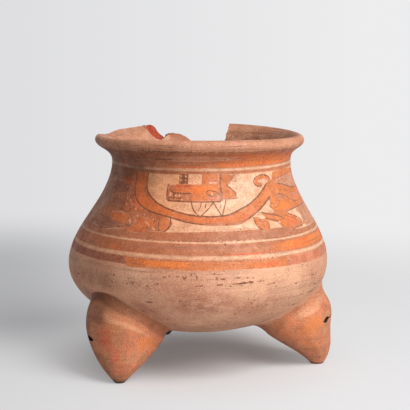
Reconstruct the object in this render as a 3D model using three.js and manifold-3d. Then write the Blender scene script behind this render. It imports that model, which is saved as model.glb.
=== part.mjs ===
// Tripod vase of hand-built, slip-painted clay. A round bowl draws in to a neck under an everted
// rim, which has lost a piece at the back and a flake at the left. It stands on three hollow
// rattle legs, each with a sound slit and loose clay pellets.
// Millimetres, +Z up. The feet stand on z = 0 and the bowl's axis is the z axis. The back of the
// vase is at +Y, and azimuths are turned from it towards +X.

import * as THREE from "three";
import { mergeVertices } from "three/addons/utils/BufferGeometryUtils.js";
import Module from "manifold-3d";

const wasm = await Module();
wasm.setup();

// Bowl, from the underside up
const groundClearance = 28;
const lowerBowlHeight = 58;
const shoulderHeight = 86;
const rimHeight = 22.5;
const bellyRadius = 110;
const neckRadius = 75.2;
const lipOverhang = 12.6;
const lipThickness = 8;

// Sideways lean of the hand-built bowl: how far along X its middle stands off the axis
const bellyShift = -1.5;
const neckShift = 1.2;
const lipShift = -0.4;

// Wall thickness, from the thick base to the thin neck
const baseWall = 8;
const bellyWall = 6.5;
const neckWall = 5.5;

// Roundness of the bowl's curves, each as a share of the stretch that the curve spans
const baseFullness = 0.55;
const lowerBellyFullness = 0.55;
const upperBellyFullness = 0.35;
const neckFullness = 0.35;
const rimFullness = 0.5;
const leanStart = 0.67;

// Inner slope of the rim, from the flat of its crest down to the neck
const crestRun = 4;
const throatRise = 11;
const throatFlare = 1.8;

// Legs, whose widest girth stands a little above the underside of the bowl
const girthRadius = 33;
const girthRise = 15;
const coneFullness = 0.4;
const ankleFullness = 0.3;
const ankleSpread = 0.44;
const shoulderFullness = 0.45;
const seatFullness = 0.4;
const legWall = 5.5;
const seatMargin = 3;
const leanCurve = 3;
const lutingGap = 0.3;

// Sound slits
const slitHeight = 2.8;
const slitSpread = 52;
const slitMargin = 4;

// Clay pellets, hand-rolled and slightly flat
const pelletDiameter = 8;
const pelletFlatness = 0.92;
const pelletsPerLeg = 3;
const pelletGap = 0.5;
const restGap = 0.3;

// Fineness of the round shapes: facets round them, and steps along their lines
const bowlFacets = 60;
const lowerBowlSteps = { outside: 11, inside: 8 };
const shoulderSteps = { outside: 9, inside: 8 };
const rimSteps = 5;
const lipSteps = 4;
const legFacets = 28;
const coneSteps = 10;
const legShoulderSteps = 6;
const chamberSteps = { cone: 11, shoulder: 4 };
const slitSteps = 6;
const undersideSamples = 200;
const pelletDetail = 1;
const weldDistance = 0.001;

// Each leg's bulb hangs inside the belly's widest circle, and its foot leans out from under it.
const legs = [
  {
    name: "front_left",
    bulbAzimuth: -133.3,
    footAzimuth: -140.5,
    bulbInset: 28,
    footLean: 19,
    footRadius: 4,
    shoulderRadius: 24.5,
    slitAzimuth: -104,
    slitRise: 6,
  },
  {
    name: "right",
    bulbAzimuth: 101,
    footAzimuth: 100,
    bulbInset: 29.5,
    footLean: 20.5,
    footRadius: 5.5,
    shoulderRadius: 22,
    slitAzimuth: 104,
    slitRise: 12,
  },
  {
    name: "back",
    bulbAzimuth: -19,
    footAzimuth: -21.5,
    bulbInset: 32,
    footLean: 12,
    footRadius: 5,
    shoulderRadius: 24,
    slitAzimuth: -19,
    slitRise: 9,
  },
];

// Outlines of what the rim has lost: an azimuth in degrees, and a depth below the lip's crest.
// Where the depth is negative, the outline runs out over the crest.
const overCrest = -5;
const rimBreak = [
  [-31, overCrest],
  [-30.4, 1],
  [-28.2, 13.2],
  [-26.6, 11.4],
  [-23.8, 10],
  [-18.5, 10],
  [-11.5, 12.4],
  [-6.8, 16],
  [-2, 26],
  [6, 30],
  [12.5, 26],
  [16.5, 14],
  [18, 1],
  [18.4, overCrest],
];
const lipFlake = [
  [-70, overCrest],
  [-65, 2.6],
  [-60, 3.4],
  [-45, 1.6],
  [-36, overCrest],
];
const lossMargin = 17;

// Heights and radii that follow from the sizes above
const bellyHeight = groundClearance + lowerBowlHeight;
const neckHeight = bellyHeight + shoulderHeight;
const crestHeight = neckHeight + rimHeight;
const lipRadius = neckRadius + lipOverhang;
const lipBead = lipThickness / 2;
const girthHeight = groundClearance + girthRise;
const pelletRadius = pelletDiameter / 2;
const pelletRing = (pelletRadius + pelletGap / 2) / Math.sin(Math.PI / pelletsPerLeg);
const floorRadius = pelletRing + pelletRadius + restGap;

// Azimuth of the +X axis, from which the angles of a flat shape are counted
const azimuthOfX = 90;

// Point on a circle round the bowl's axis
function polar(azimuth, radius, height) {
  const turn = THREE.MathUtils.degToRad(azimuth);
  return new THREE.Vector3(radius * Math.sin(turn), radius * Math.cos(turn), height);
}

function cubic(...corners) {
  return new THREE.CubicBezierCurve(...corners.map(([x, y]) => new THREE.Vector2(x, y)));
}

// Outer lines of the bowl, each a curve of radius and height
const lowerBowl = cubic(
  [0, groundClearance],
  [bellyRadius * baseFullness, groundClearance],
  [bellyRadius, bellyHeight - lowerBowlHeight * lowerBellyFullness],
  [bellyRadius, bellyHeight],
);
const shoulder = cubic(
  [bellyRadius, bellyHeight],
  [bellyRadius, bellyHeight + shoulderHeight * upperBellyFullness],
  [neckRadius, neckHeight - shoulderHeight * neckFullness],
  [neckRadius, neckHeight],
);
const rimUnderside = cubic(
  [neckRadius, neckHeight],
  [neckRadius, neckHeight + rimHeight * rimFullness],
  [lipRadius, crestHeight - rimHeight * rimFullness],
  [lipRadius, crestHeight - lipBead],
);
const rimThroat = cubic(
  [lipRadius - lipBead, crestHeight],
  [lipRadius - lipBead - crestRun, crestHeight],
  [neckRadius - neckWall + throatFlare, neckHeight + throatRise],
  [neckRadius - neckWall, neckHeight],
);

// Points along a curve, moved sideways to the left of its direction by a distance that runs
// evenly from one value to another. A negative distance moves them to the right.
function offsetPoints(curve, steps, atStart, atEnd) {
  const points = [];
  for (let step = 0; step <= steps; step += 1) {
    const share = step / steps;
    const along = curve.getTangent(share);
    const distance = THREE.MathUtils.lerp(atStart, atEnd, share);
    const left = new THREE.Vector2(-along.y, along.x).multiplyScalar(distance);
    points.push(curve.getPoint(share).add(left));
  }
  return points;
}

// Rounded lip, from its outer edge over to its crest
function lipPoints() {
  const centre = new THREE.Vector2(lipRadius - lipBead, crestHeight - lipBead);
  const points = [];
  for (let step = 1; step < lipSteps; step += 1) {
    const turn = (step / lipSteps) * (Math.PI / 2);
    points.push(new THREE.Vector2(Math.cos(turn), Math.sin(turn)).multiplyScalar(lipBead).add(centre));
  }
  return points;
}

// Outer line of the bowl from the axis to the lip's outer edge, grown by a distance
function outerLine(growth) {
  return [
    ...offsetPoints(lowerBowl, lowerBowlSteps.outside, -growth, -growth),
    ...offsetPoints(shoulder, shoulderSteps.outside, -growth, -growth).slice(1),
    ...offsetPoints(rimUnderside, rimSteps, -growth, -growth).slice(1),
  ];
}

// Inner line of the bowl from the lip's crest down to the axis
function innerLine() {
  const wall = offsetPoints(shoulder, shoulderSteps.inside, bellyWall, neckWall).reverse();
  const bottom = offsetPoints(lowerBowl, lowerBowlSteps.inside, baseWall, bellyWall).reverse();
  return [...rimThroat.getPoints(rimSteps), ...wall.slice(1), ...bottom.slice(1)];
}

// Sideways place of the bowl's middle at a height
function bowlShift(height) {
  const low = groundClearance + lowerBowlHeight * leanStart;
  const upWall = THREE.MathUtils.smoothstep(height, low, neckHeight);
  const upRim = THREE.MathUtils.smoothstep(height, neckHeight, crestHeight);
  return bellyShift + (neckShift - bellyShift) * upWall + (lipShift - neckShift) * upRim;
}

function revolve(line) {
  const skin = new THREE.LatheGeometry(line, bowlFacets).rotateX(Math.PI / 2);
  const places = skin.getAttribute("position");
  for (let index = 0; index < places.count; index += 1) {
    places.setX(index, places.getX(index) + bowlShift(places.getZ(index)));
  }
  return skin;
}

function solidFrom(geometry) {
  const bare = geometry.clone();
  bare.deleteAttribute("normal");
  bare.deleteAttribute("uv");
  const welded = mergeVertices(bare, weldDistance);
  const vertProperties = welded.getAttribute("position").array;
  const triVerts = new Uint32Array(welded.index.array);
  return new wasm.Manifold(new wasm.Mesh({ numProp: 3, vertProperties, triVerts }));
}

function geometryFrom(solid) {
  const { numProp, vertProperties, triVerts } = solid.getMesh();
  const geometry = new THREE.BufferGeometry();
  geometry.setAttribute("position", new THREE.BufferAttribute(vertProperties, numProp));
  geometry.setIndex(new THREE.BufferAttribute(triVerts, 1));
  geometry.computeVertexNormals();
  return geometry;
}

// Radial wedge under an outline on the rim, reaching right through the wall
function lossCutter(outline) {
  const shape = new THREE.Shape(
    outline.map(([azimuth, depth]) => new THREE.Vector2(-azimuth, crestHeight - depth)),
  );
  const innerRadius = neckRadius - neckWall - lossMargin;
  const depth = lipRadius + lossMargin - innerRadius;
  const wedge = new THREE.ExtrudeGeometry(shape, { depth, bevelEnabled: false });
  const places = wedge.getAttribute("position");
  for (let index = 0; index < places.count; index += 1) {
    const radius = innerRadius + places.getZ(index);
    const place = polar(-places.getX(index), radius, places.getY(index));
    places.setXYZ(index, place.x, place.y, place.z);
  }
  return wedge;
}

function vesselBody() {
  const line = [...outerLine(0), ...lipPoints(), ...innerLine()];
  const whole = solidFrom(revolve(line));
  const broken = whole.subtract(solidFrom(lossCutter(rimBreak)));
  return geometryFrom(broken.subtract(solidFrom(lossCutter(lipFlake))));
}

// The room that the bowl takes up, hollow and all, with the luting gap round it
function bowlRoom() {
  const line = outerLine(lutingGap);
  line[0].x = 0;
  line.push(new THREE.Vector2(0, line[line.length - 1].y));
  return revolve(line);
}

// Height of the bowl's underside at a radius
function undersideAt(radius) {
  const samples = lowerBowl.getPoints(undersideSamples);
  const first = samples.findIndex((point) => point.x >= radius);
  const [inner, outer] = [samples[first - 1], samples[first]];
  const share = (radius - inner.x) / (outer.x - inner.x);
  return THREE.MathUtils.lerp(inner.y, outer.y, share);
}

// Middle of a leg at a height: over the foot at the floor, and under the bulb from its girth up
function legCentre(leg, height) {
  const bulbReach = bellyRadius - leg.bulbInset;
  const bulb = polar(leg.bulbAzimuth, bulbReach, height);
  const foot = polar(leg.footAzimuth, bulbReach + leg.footLean, height);
  const climb = THREE.MathUtils.clamp(height / girthHeight, 0, 1);
  return bulb.lerp(foot, (1 - climb ** 2) ** leanCurve);
}

// Outer lines of a leg, each a curve of radius and height: the cone up to the girth, and the
// shoulder that runs up into the bowl
function legCone(leg) {
  return cubic(
    [leg.footRadius, 0],
    [girthRadius * ankleSpread, girthHeight * ankleFullness],
    [girthRadius, girthHeight * (1 - coneFullness)],
    [girthRadius, girthHeight],
  );
}

function legShoulder(leg) {
  const reach = bellyRadius - leg.bulbInset + leg.shoulderRadius;
  const seat = undersideAt(reach) + seatMargin;
  const rise = seat - girthHeight;
  return cubic(
    [girthRadius, girthHeight],
    [girthRadius, girthHeight + rise * shoulderFullness],
    [(girthRadius + leg.shoulderRadius) / 2, seat - rise * seatFullness],
    [leg.shoulderRadius, seat],
  );
}

// Closed skin through level rings round a leg's middle line
function loftLeg(leg, line) {
  const places = [];
  const corners = [];
  line.forEach((point) => {
    const centre = legCentre(leg, point.y);
    for (let step = 0; step < legFacets; step += 1) {
      const turn = (step / legFacets) * 2 * Math.PI;
      places.push(centre.x + point.x * Math.cos(turn), centre.y + point.x * Math.sin(turn), point.y);
    }
  });
  const last = line.length - 1;
  for (let step = 0; step < legFacets; step += 1) {
    const next = (step + 1) % legFacets;
    for (let ring = 0; ring < last; ring += 1) {
      const low = ring * legFacets;
      const high = low + legFacets;
      corners.push(low + step, low + next, high + next);
      corners.push(low + step, high + next, high + step);
    }
    if (step > 0 && next > 0) {
      corners.push(0, next, step);
      corners.push(last * legFacets, last * legFacets + step, last * legFacets + next);
    }
  }
  const skin = new THREE.BufferGeometry();
  skin.setAttribute("position", new THREE.Float32BufferAttribute(places, 3));
  skin.setIndex(corners);
  return skin;
}

function legOuterLine(leg) {
  return [...legCone(leg).getPoints(coneSteps), ...legShoulder(leg).getPoints(legShoulderSteps).slice(1)];
}

// Line of a leg's chamber, a wall's thickness inside the leg, from its level floor up
function chamberLine(leg) {
  const inside = [
    ...offsetPoints(legCone(leg), chamberSteps.cone, legWall, legWall),
    ...offsetPoints(legShoulder(leg), chamberSteps.shoulder, legWall, legWall).slice(1),
  ];
  const first = inside.findIndex((point) => point.x >= floorRadius);
  const [below, above] = [inside[first - 1], inside[first]];
  const share = (floorRadius - below.x) / (above.x - below.x);
  const floorEdge = new THREE.Vector2(floorRadius, THREE.MathUtils.lerp(below.y, above.y, share));
  const top = inside[inside.length - 1];
  const overTop = new THREE.Vector2(top.x, top.y + seatMargin + legWall);
  return [floorEdge, ...inside.slice(first), overTop];
}

// Flat curved blade that opens the sound slit through a leg's wall
function slitCutter(leg) {
  const height = groundClearance + leg.slitRise;
  const facing = azimuthOfX - leg.slitAzimuth;
  const start = THREE.MathUtils.degToRad(facing - slitSpread / 2);
  const end = THREE.MathUtils.degToRad(facing + slitSpread / 2);
  const blade = new THREE.Shape();
  blade.absarc(0, 0, girthRadius + slitMargin, start, end, false);
  blade.absarc(0, 0, girthRadius - legWall - 2 * slitMargin, end, start, true);
  const cut = new THREE.ExtrudeGeometry(blade, {
    depth: slitHeight,
    bevelEnabled: false,
    curveSegments: slitSteps,
  });
  const centre = legCentre(leg, height);
  return cut.translate(centre.x, centre.y, height - slitHeight / 2);
}

function hollowLeg(leg) {
  const outside = solidFrom(loftLeg(leg, legOuterLine(leg)));
  const chamber = solidFrom(loftLeg(leg, chamberLine(leg)));
  const shell = outside.subtract(chamber).subtract(solidFrom(bowlRoom()));
  return geometryFrom(shell.subtract(solidFrom(slitCutter(leg))));
}

// Pellets lie side by side on the chamber's floor, clear of its leaning wall.
function placePellet(pellet, leg, index) {
  const floorHeight = chamberLine(leg)[0].y;
  const turn = THREE.MathUtils.degToRad(leg.bulbAzimuth) + (index / pelletsPerLeg) * 2 * Math.PI;
  const centre = legCentre(leg, floorHeight + pelletRadius / 2);
  pellet.scale.z = pelletFlatness;
  pellet.position.set(
    centre.x + pelletRing * Math.sin(turn),
    centre.y + pelletRing * Math.cos(turn),
    floorHeight + restGap + pelletRadius * pelletFlatness,
  );
}

const paintedClay = new THREE.MeshStandardMaterial({ color: 0xc08a6a, roughness: 0.72, metalness: 0 });
const legClay = new THREE.MeshStandardMaterial({ color: 0xc27c56, roughness: 0.78, metalness: 0 });
const bareClay = new THREE.MeshStandardMaterial({ color: 0xb5603c, roughness: 0.9, metalness: 0 });

function namedMesh(name, geometry, material) {
  const mesh = new THREE.Mesh(geometry, material.clone());
  mesh.name = name;
  return mesh;
}

const vase = new THREE.Group();
vase.add(namedMesh("vessel_body", vesselBody(), paintedClay));
for (const leg of legs) {
  vase.add(namedMesh(`leg_${leg.name}`, hollowLeg(leg), legClay));
  for (let index = 0; index < pelletsPerLeg; index += 1) {
    const ball = new THREE.IcosahedronGeometry(pelletRadius, pelletDetail);
    const pellet = namedMesh(`pellet_${leg.name}_${index + 1}`, ball, bareClay);
    placePellet(pellet, leg, index);
    vase.add(pellet);
  }
}

export default vase;
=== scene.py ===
"""Looks of the tripod vase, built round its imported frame.

A round bowl of hand-built clay draws in to a neck under an everted rim that has lost a piece at
the back. It stands on three hollow rattle legs with sound slits and loose pellets. The vessel is
slip-painted: thin pale lines, brown and orange bands, and a frieze with a profile head in a
garland. Metres, +Z up, the feet on z = 0, the back at +Y and the camera in front, at -Y.
"""

import logging
import math
from collections.abc import Callable
from dataclasses import dataclass
from enum import Enum

import bpy
import numpy as np
from mathutils import Euler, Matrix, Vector


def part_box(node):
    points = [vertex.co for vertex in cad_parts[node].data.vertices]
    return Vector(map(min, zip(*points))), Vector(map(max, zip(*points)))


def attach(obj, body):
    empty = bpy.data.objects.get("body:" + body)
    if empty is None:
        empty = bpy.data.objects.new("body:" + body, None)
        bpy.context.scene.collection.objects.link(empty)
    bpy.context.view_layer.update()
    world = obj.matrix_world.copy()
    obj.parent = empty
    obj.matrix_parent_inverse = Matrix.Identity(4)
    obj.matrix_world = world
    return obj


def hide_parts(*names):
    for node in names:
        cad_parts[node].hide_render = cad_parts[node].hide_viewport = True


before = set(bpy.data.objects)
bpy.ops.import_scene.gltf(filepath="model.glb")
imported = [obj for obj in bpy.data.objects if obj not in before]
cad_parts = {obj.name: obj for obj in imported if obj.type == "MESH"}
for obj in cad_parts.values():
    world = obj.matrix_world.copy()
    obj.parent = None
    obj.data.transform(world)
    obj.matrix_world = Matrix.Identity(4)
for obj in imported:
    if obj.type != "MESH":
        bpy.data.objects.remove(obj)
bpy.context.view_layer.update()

log = logging.getLogger("tripod_vase")

SEED = 20
MILLIMETRE = 0.001
FULL_TURN = 2 * math.pi
VASE_BODY = "vase"
MERGE_DISTANCE = 1e-6


class Slot(Enum):
    """Material slots of the record."""

    PAINTED = "painted_slip"
    LEG = "leg_slip"
    BARE = "bare_clay"


# Curves and lines of radius and height


@dataclass(frozen=True)
class Bezier:
    """A cubic curve of radius and height through four corner points."""

    corners: tuple[tuple[float, float], ...]

    def points(self, count: int) -> np.ndarray:
        """Points spaced evenly in the curve's own parameter.

        Args:
            count: How many points.

        Returns:
            One radius and height a row.
        """
        t = np.linspace(0, 1, count)[:, None]
        a, b, c, d = np.array(self.corners)
        return (1 - t) ** 3 * a + 3 * (1 - t) ** 2 * t * b + 3 * (1 - t) * t**2 * c + t**3 * d

    def offset(self, count: int, at_start: float, at_end: float) -> np.ndarray:
        """Points moved to the left of the curve's direction.

        Args:
            count: How many points.
            at_start: Distance to move the first point.
            at_end: Distance to move the last point.

        Returns:
            One radius and height a row.
        """
        line = self.points(count)
        along = np.gradient(line, axis=0)
        along /= np.linalg.norm(along, axis=1)[:, None]
        left = np.stack([-along[:, 1], along[:, 0]], axis=1)
        return line + left * np.linspace(at_start, at_end, count)[:, None]


def respaced(line: np.ndarray, step: float) -> np.ndarray:
    """The same line with its points spaced evenly along it.

    Args:
        line: Points, one a row.
        step: Distance between points.

    Returns:
        The new points, with both ends kept.
    """
    along = np.concatenate([[0], np.cumsum(np.linalg.norm(np.diff(line, axis=0), axis=1))])
    count = max(2, round(along[-1] / step) + 1)
    places = np.linspace(0, along[-1], count)
    return np.stack([np.interp(places, along, line[:, axis]) for axis in range(line.shape[1])], axis=1)


def between(line: np.ndarray, low: float, high: float) -> np.ndarray:
    """The stretch of a line that climbs or falls steadily, between two heights.

    Args:
        line: Points of radius and height.
        low: Lower height.
        high: Upper height.

    Returns:
        The points in between, with new ones at both heights, in the line's own order.
    """
    falls = line[0, 1] > line[-1, 1]
    rising = line[::-1] if falls else line
    kept = rising[(rising[:, 1] > low) & (rising[:, 1] < high)]
    ends = [[np.interp(z, rising[:, 1], rising[:, 0]), z] for z in (low, high)]
    cut = np.vstack([ends[0], kept, ends[1]])
    return cut[::-1] if falls else cut


def smoothstep(value: np.ndarray, low: float, high: float) -> np.ndarray:
    """A smooth rise from 0 at low to 1 at high."""
    share = np.clip((value - low) / (high - low), 0, 1)
    return share * share * (3 - 2 * share)


@dataclass(frozen=True)
class HandWobble:
    """Soft unevenness of a hand-built wall: a sum of low waves round it and up it."""

    waves: int = 22
    longest: float = 0.00022
    decay: float = 0.9
    first_rise: tuple[float, float] = (0, 60)
    further_rise: tuple[float, float] = (2, 14)
    strength: tuple[float, float] = (0.5, 1)

    def at(self, turn: np.ndarray, height: np.ndarray) -> np.ndarray:
        """Outward move of the wall.

        Args:
            turn: Angles round the axis, in radians.
            height: Heights in metres.

        Returns:
            The move in metres.
        """
        draw = np.random.default_rng(SEED)
        total = np.zeros_like(turn)
        for wave in range(self.waves):
            around = draw.integers(1, 4) + wave
            upward = draw.uniform(*self.first_rise) + wave * draw.uniform(*self.further_rise)
            size = self.longest * self.decay**wave * draw.uniform(*self.strength)
            total += size * np.sin(around * turn + upward * height + draw.uniform(0, FULL_TURN))
        return total


@dataclass(frozen=True)
class BowlShape:
    """Lines of the bowl, from its underside over the lip and down inside."""

    ground_clearance: float = 0.028
    lower_bowl_height: float = 0.058
    shoulder_height: float = 0.086
    rim_height: float = 0.0225
    belly_radius: float = 0.110
    neck_radius: float = 0.0752
    lip_overhang: float = 0.0126
    lip_bead: float = 0.004
    lip_points: int = 12
    base_fullness: float = 0.55
    shoulder_fullness: float = 0.35
    rim_fullness: float = 0.5
    base_wall: float = 0.008
    belly_wall: float = 0.0065
    neck_wall: float = 0.0055
    crest_run: float = 0.004
    throat_rise: float = 0.011
    throat_flare: float = 0.0018
    belly_shift: float = -0.0015
    neck_shift: float = 0.0012
    lip_shift: float = -0.0004
    lean_start: float = 0.67
    rim_sag: float = 0.0012
    true_middle: float = 0.022
    samples: int = 400
    wobble: HandWobble = HandWobble()

    @property
    def belly_height(self) -> float:
        """Height of the widest girth."""
        return self.ground_clearance + self.lower_bowl_height

    @property
    def neck_height(self) -> float:
        """Height of the neck, the narrowest place."""
        return self.belly_height + self.shoulder_height

    @property
    def crest_height(self) -> float:
        """Height of the lip's crest."""
        return self.neck_height + self.rim_height

    @property
    def lip_radius(self) -> float:
        """Radius of the lip's outer edge."""
        return self.neck_radius + self.lip_overhang

    def lower_bowl(self) -> Bezier:
        """Outer line from the underside to the belly."""
        return Bezier((
            (0, self.ground_clearance),
            (self.belly_radius * self.base_fullness, self.ground_clearance),
            (self.belly_radius, self.belly_height - self.lower_bowl_height * self.base_fullness),
            (self.belly_radius, self.belly_height),
        ))

    def shoulder(self) -> Bezier:
        """Outer line from the belly to the neck."""
        return Bezier((
            (self.belly_radius, self.belly_height),
            (self.belly_radius, self.belly_height + self.shoulder_height * self.shoulder_fullness),
            (self.neck_radius, self.neck_height - self.shoulder_height * self.shoulder_fullness),
            (self.neck_radius, self.neck_height),
        ))

    def rim_underside(self) -> Bezier:
        """Outer line from the neck out to the lip."""
        return Bezier((
            (self.neck_radius, self.neck_height),
            (self.neck_radius, self.neck_height + self.rim_height * self.rim_fullness),
            (self.lip_radius, self.crest_height - self.rim_height * self.rim_fullness),
            (self.lip_radius, self.crest_height - self.lip_bead),
        ))

    def rim_throat(self) -> Bezier:
        """Inner line from the lip's crest down to the neck."""
        return Bezier((
            (self.lip_radius - self.lip_bead, self.crest_height),
            (self.lip_radius - self.lip_bead - self.crest_run, self.crest_height),
            (self.neck_radius - self.neck_wall + self.throat_flare, self.neck_height + self.throat_rise),
            (self.neck_radius - self.neck_wall, self.neck_height),
        ))

    def lip(self) -> np.ndarray:
        """Points of the rounded lip, from its outer edge to its crest."""
        turn = np.linspace(0, math.pi / 2, self.lip_points)[:, None]
        centre = np.array([[self.lip_radius - self.lip_bead, self.crest_height - self.lip_bead]])
        return centre + self.lip_bead * np.hstack([np.cos(turn), np.sin(turn)])

    def outside(self) -> np.ndarray:
        """Outer line from the axis underneath up to the lip's outer edge."""
        curves = (self.lower_bowl(), self.shoulder(), self.rim_underside())
        first, *others = (curve.points(self.samples) for curve in curves)
        return np.vstack([first, *(line[1:] for line in others)])

    def inside(self) -> np.ndarray:
        """Inner line from the neck down to the axis."""
        wall = self.shoulder().offset(self.samples, self.belly_wall, self.neck_wall)[::-1]
        bottom = self.lower_bowl().offset(self.samples, self.base_wall, self.belly_wall)[::-1]
        line = np.vstack([wall, bottom[1:]])
        line[-1, 0] = 0
        return line

    def radius_at(self, height: np.ndarray) -> np.ndarray:
        """Outer radius at heights between the underside and the lip."""
        line = self.outside()
        return np.interp(height, line[:, 1], line[:, 0])

    def underside_at(self, radius: np.ndarray) -> np.ndarray:
        """Height of the lower bowl's outside at radii within the belly."""
        line = self.lower_bowl().points(self.samples)
        return np.interp(radius, line[:, 0], line[:, 1])

    def shift_at(self, height: np.ndarray) -> np.ndarray:
        """How far along X the hand-built bowl's middle stands off the axis at a height."""
        low = self.ground_clearance + self.lower_bowl_height * self.lean_start
        up_wall = smoothstep(height, low, self.neck_height)
        up_rim = smoothstep(height, self.neck_height, self.crest_height)
        lean = self.belly_shift + (self.neck_shift - self.belly_shift) * up_wall
        return lean + (self.lip_shift - self.neck_shift) * up_rim

    def hand_built(self, points: np.ndarray) -> np.ndarray:
        """Gives true round places the bowl's lean and its unevenness.

        Args:
            points: Places on the bowl as it was turned round its axis.

        Returns:
            The places on the hand-built bowl.
        """
        turn = np.arctan2(points[:, 1], points[:, 0])
        radius = np.hypot(points[:, 0], points[:, 1])
        off_axis = np.clip(radius / self.true_middle, 0, 1)
        push = self.wobble.at(turn, points[:, 2]) * off_axis
        moved = points.copy()
        moved[:, 0] += np.cos(turn) * push + self.shift_at(points[:, 2])
        moved[:, 1] += np.sin(turn) * push
        up_rim = smoothstep(points[:, 2], self.neck_height, self.crest_height)
        moved[:, 2] -= self.rim_sag * np.cos(2 * turn) * up_rim
        return moved

    def on_underside(self, points: np.ndarray, lift: float) -> np.ndarray:
        """The nearest places on the lower bowl's outside.

        Args:
            points: Places near it.
            lift: How far to go past it, into the wall.

        Returns:
            The places on the hand-built bowl.
        """
        line = self.lower_bowl().offset(self.samples, lift, lift)
        x = points[:, 0] - self.shift_at(points[:, 2])
        turn = np.arctan2(points[:, 1], x)
        across = np.hypot(x, points[:, 1])[:, None] - line[:, 0]
        upward = points[:, 2][:, None] - line[:, 1]
        radius, height = line[np.argmin(across**2 + upward**2, axis=1)].T
        return self.hand_built(np.stack([radius * np.cos(turn), radius * np.sin(turn), height], axis=1))


# Modelling by operators


def added(operator: Callable, name: str, **settings: object) -> bpy.types.Object:
    """Adds a primitive at the origin, with nothing else selected.

    Args:
        operator: The operator that adds it.
        name: The new object's name.
        settings: The operator's settings.

    Returns:
        The new object.
    """
    bpy.ops.object.select_all(action="DESELECT")
    operator(location=(0, 0, 0), **settings)
    obj = bpy.context.object
    obj.name = obj.data.name = name
    return obj


def take(obj: bpy.types.Object) -> None:
    """Selects one object alone and makes it the active one."""
    bpy.ops.object.select_all(action="DESELECT")
    obj.select_set(True)
    bpy.context.view_layer.objects.active = obj


def places(obj: bpy.types.Object) -> np.ndarray:
    """The object's vertices, one a row."""
    flat = np.zeros(len(obj.data.vertices) * 3, np.float32)
    obj.data.vertices.foreach_get("co", flat)
    return flat.reshape(-1, 3).astype(float)


def place(obj: bpy.types.Object, points: np.ndarray) -> None:
    """Moves the object's vertices to new places, one a row."""
    obj.data.vertices.foreach_set("co", points.astype(np.float32).ravel())
    obj.data.update()


def edit(obj: bpy.types.Object, kind: str, picked: np.ndarray | None = None) -> None:
    """Opens a piece in edit mode with some of its parts selected.

    Args:
        obj: The piece.
        kind: VERT, EDGE or FACE.
        picked: Whether each part of that kind is selected. All are where it is left out.
    """
    take(obj)
    mesh = obj.data
    for name, parts in (("VERT", mesh.vertices), ("EDGE", mesh.edges), ("FACE", mesh.polygons)):
        chosen = np.full(len(parts), picked is None) if picked is None or name != kind else picked
        parts.foreach_set("select", chosen.astype(bool))
    bpy.context.tool_settings.mesh_select_mode = tuple(name == kind for name in ("VERT", "EDGE", "FACE"))
    bpy.ops.object.mode_set(mode="EDIT")


def done() -> None:
    """Closes edit mode."""
    bpy.ops.object.mode_set(mode="OBJECT")


def spun(name: str, line: np.ndarray, facets: int, closed: bool = False) -> bpy.types.Object:
    """A skin of revolution: a circle of vertices laid along a line, then spun round the Z axis.

    Args:
        name: Name of the new piece.
        line: Points of radius and height. Its outside lies to the right of its direction.
        facets: How many steps the spin takes.
        closed: Whether the line's end joins its start.

    Returns:
        The new object, merged, with its faces pointing outwards.
    """
    obj = added(bpy.ops.mesh.primitive_circle_add, name, vertices=len(line), fill_type="NOTHING")
    place(obj, np.stack([line[:, 0], np.zeros(len(line)), line[:, 1]], axis=1))
    if not closed:
        ends = {0, len(line) - 1}
        edit(obj, "EDGE", np.array([set(edge.vertices) == ends for edge in obj.data.edges]))
        bpy.ops.mesh.delete(type="EDGE")
        done()
    take(obj)
    turning = obj.modifiers.new("turning", "SCREW")
    turning.steps = turning.render_steps = facets
    turning.use_merge_vertices = True
    turning.merge_threshold = MERGE_DISTANCE
    bpy.ops.object.modifier_apply(modifier=turning.name)
    edit(obj, "VERT")
    bpy.ops.mesh.remove_doubles(threshold=MERGE_DISTANCE)
    bpy.ops.mesh.normals_make_consistent(inside=False)
    done()
    if not closed and line[0, 0] > 0 and line[-1, 0] > 0:
        face_along_line(obj, line)
    return obj


def face_along_line(obj: bpy.types.Object, line: np.ndarray) -> None:
    """Turns an open skin's faces so that they point to the right of the line that it was spun from.

    Args:
        obj: The spun skin.
        line: Its points of radius and height.
    """
    middle = len(line) // 2
    along = line[middle] - line[middle - 1]
    right = np.array([along[1], -along[0]])
    target = (line[middle] + line[middle - 1]) / 2
    face = min(
        obj.data.polygons,
        key=lambda f: (math.hypot(f.center.x, f.center.y) - target[0]) ** 2 + (f.center.z - target[1]) ** 2,
    )
    outward = Vector((face.center.x, face.center.y, 0)).normalized()
    if face.normal.dot(outward) * right[0] + face.normal.z * right[1] <= 0:
        edit(obj, "FACE")
        bpy.ops.mesh.flip_normals()
        done()


def cut_away(obj: bpy.types.Object, cutter: bpy.types.Object) -> None:
    """Takes a closed cutter's room out of a closed piece, and removes the cutter.

    Args:
        obj: The piece. Its cut faces get the material of the cutter's own place in the list.
        cutter: The cutting shape.
    """
    take(obj)
    tool = obj.modifiers.new("cut", "BOOLEAN")
    tool.operation = "DIFFERENCE"
    tool.object = cutter
    tool.solver = "MANIFOLD"
    bpy.ops.object.modifier_apply(modifier=tool.name)
    bpy.data.objects.remove(cutter)


def smooth(obj: bpy.types.Object, angle: float) -> None:
    """Shades a piece smooth, but for edges sharper than an angle in degrees."""
    take(obj)
    bpy.ops.object.shade_smooth_by_angle(angle=math.radians(angle))


def wear(obj: bpy.types.Object, *materials: bpy.types.Material) -> None:
    """Gives a piece its materials, and keeps which of them each face wears."""
    worn = np.zeros(len(obj.data.polygons), np.int32)
    obj.data.polygons.foreach_get("material_index", worn)
    obj.data.materials.clear()
    for material in materials:
        obj.data.materials.append(material)
    obj.data.polygons.foreach_set("material_index", worn.clip(max=len(materials) - 1))


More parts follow.
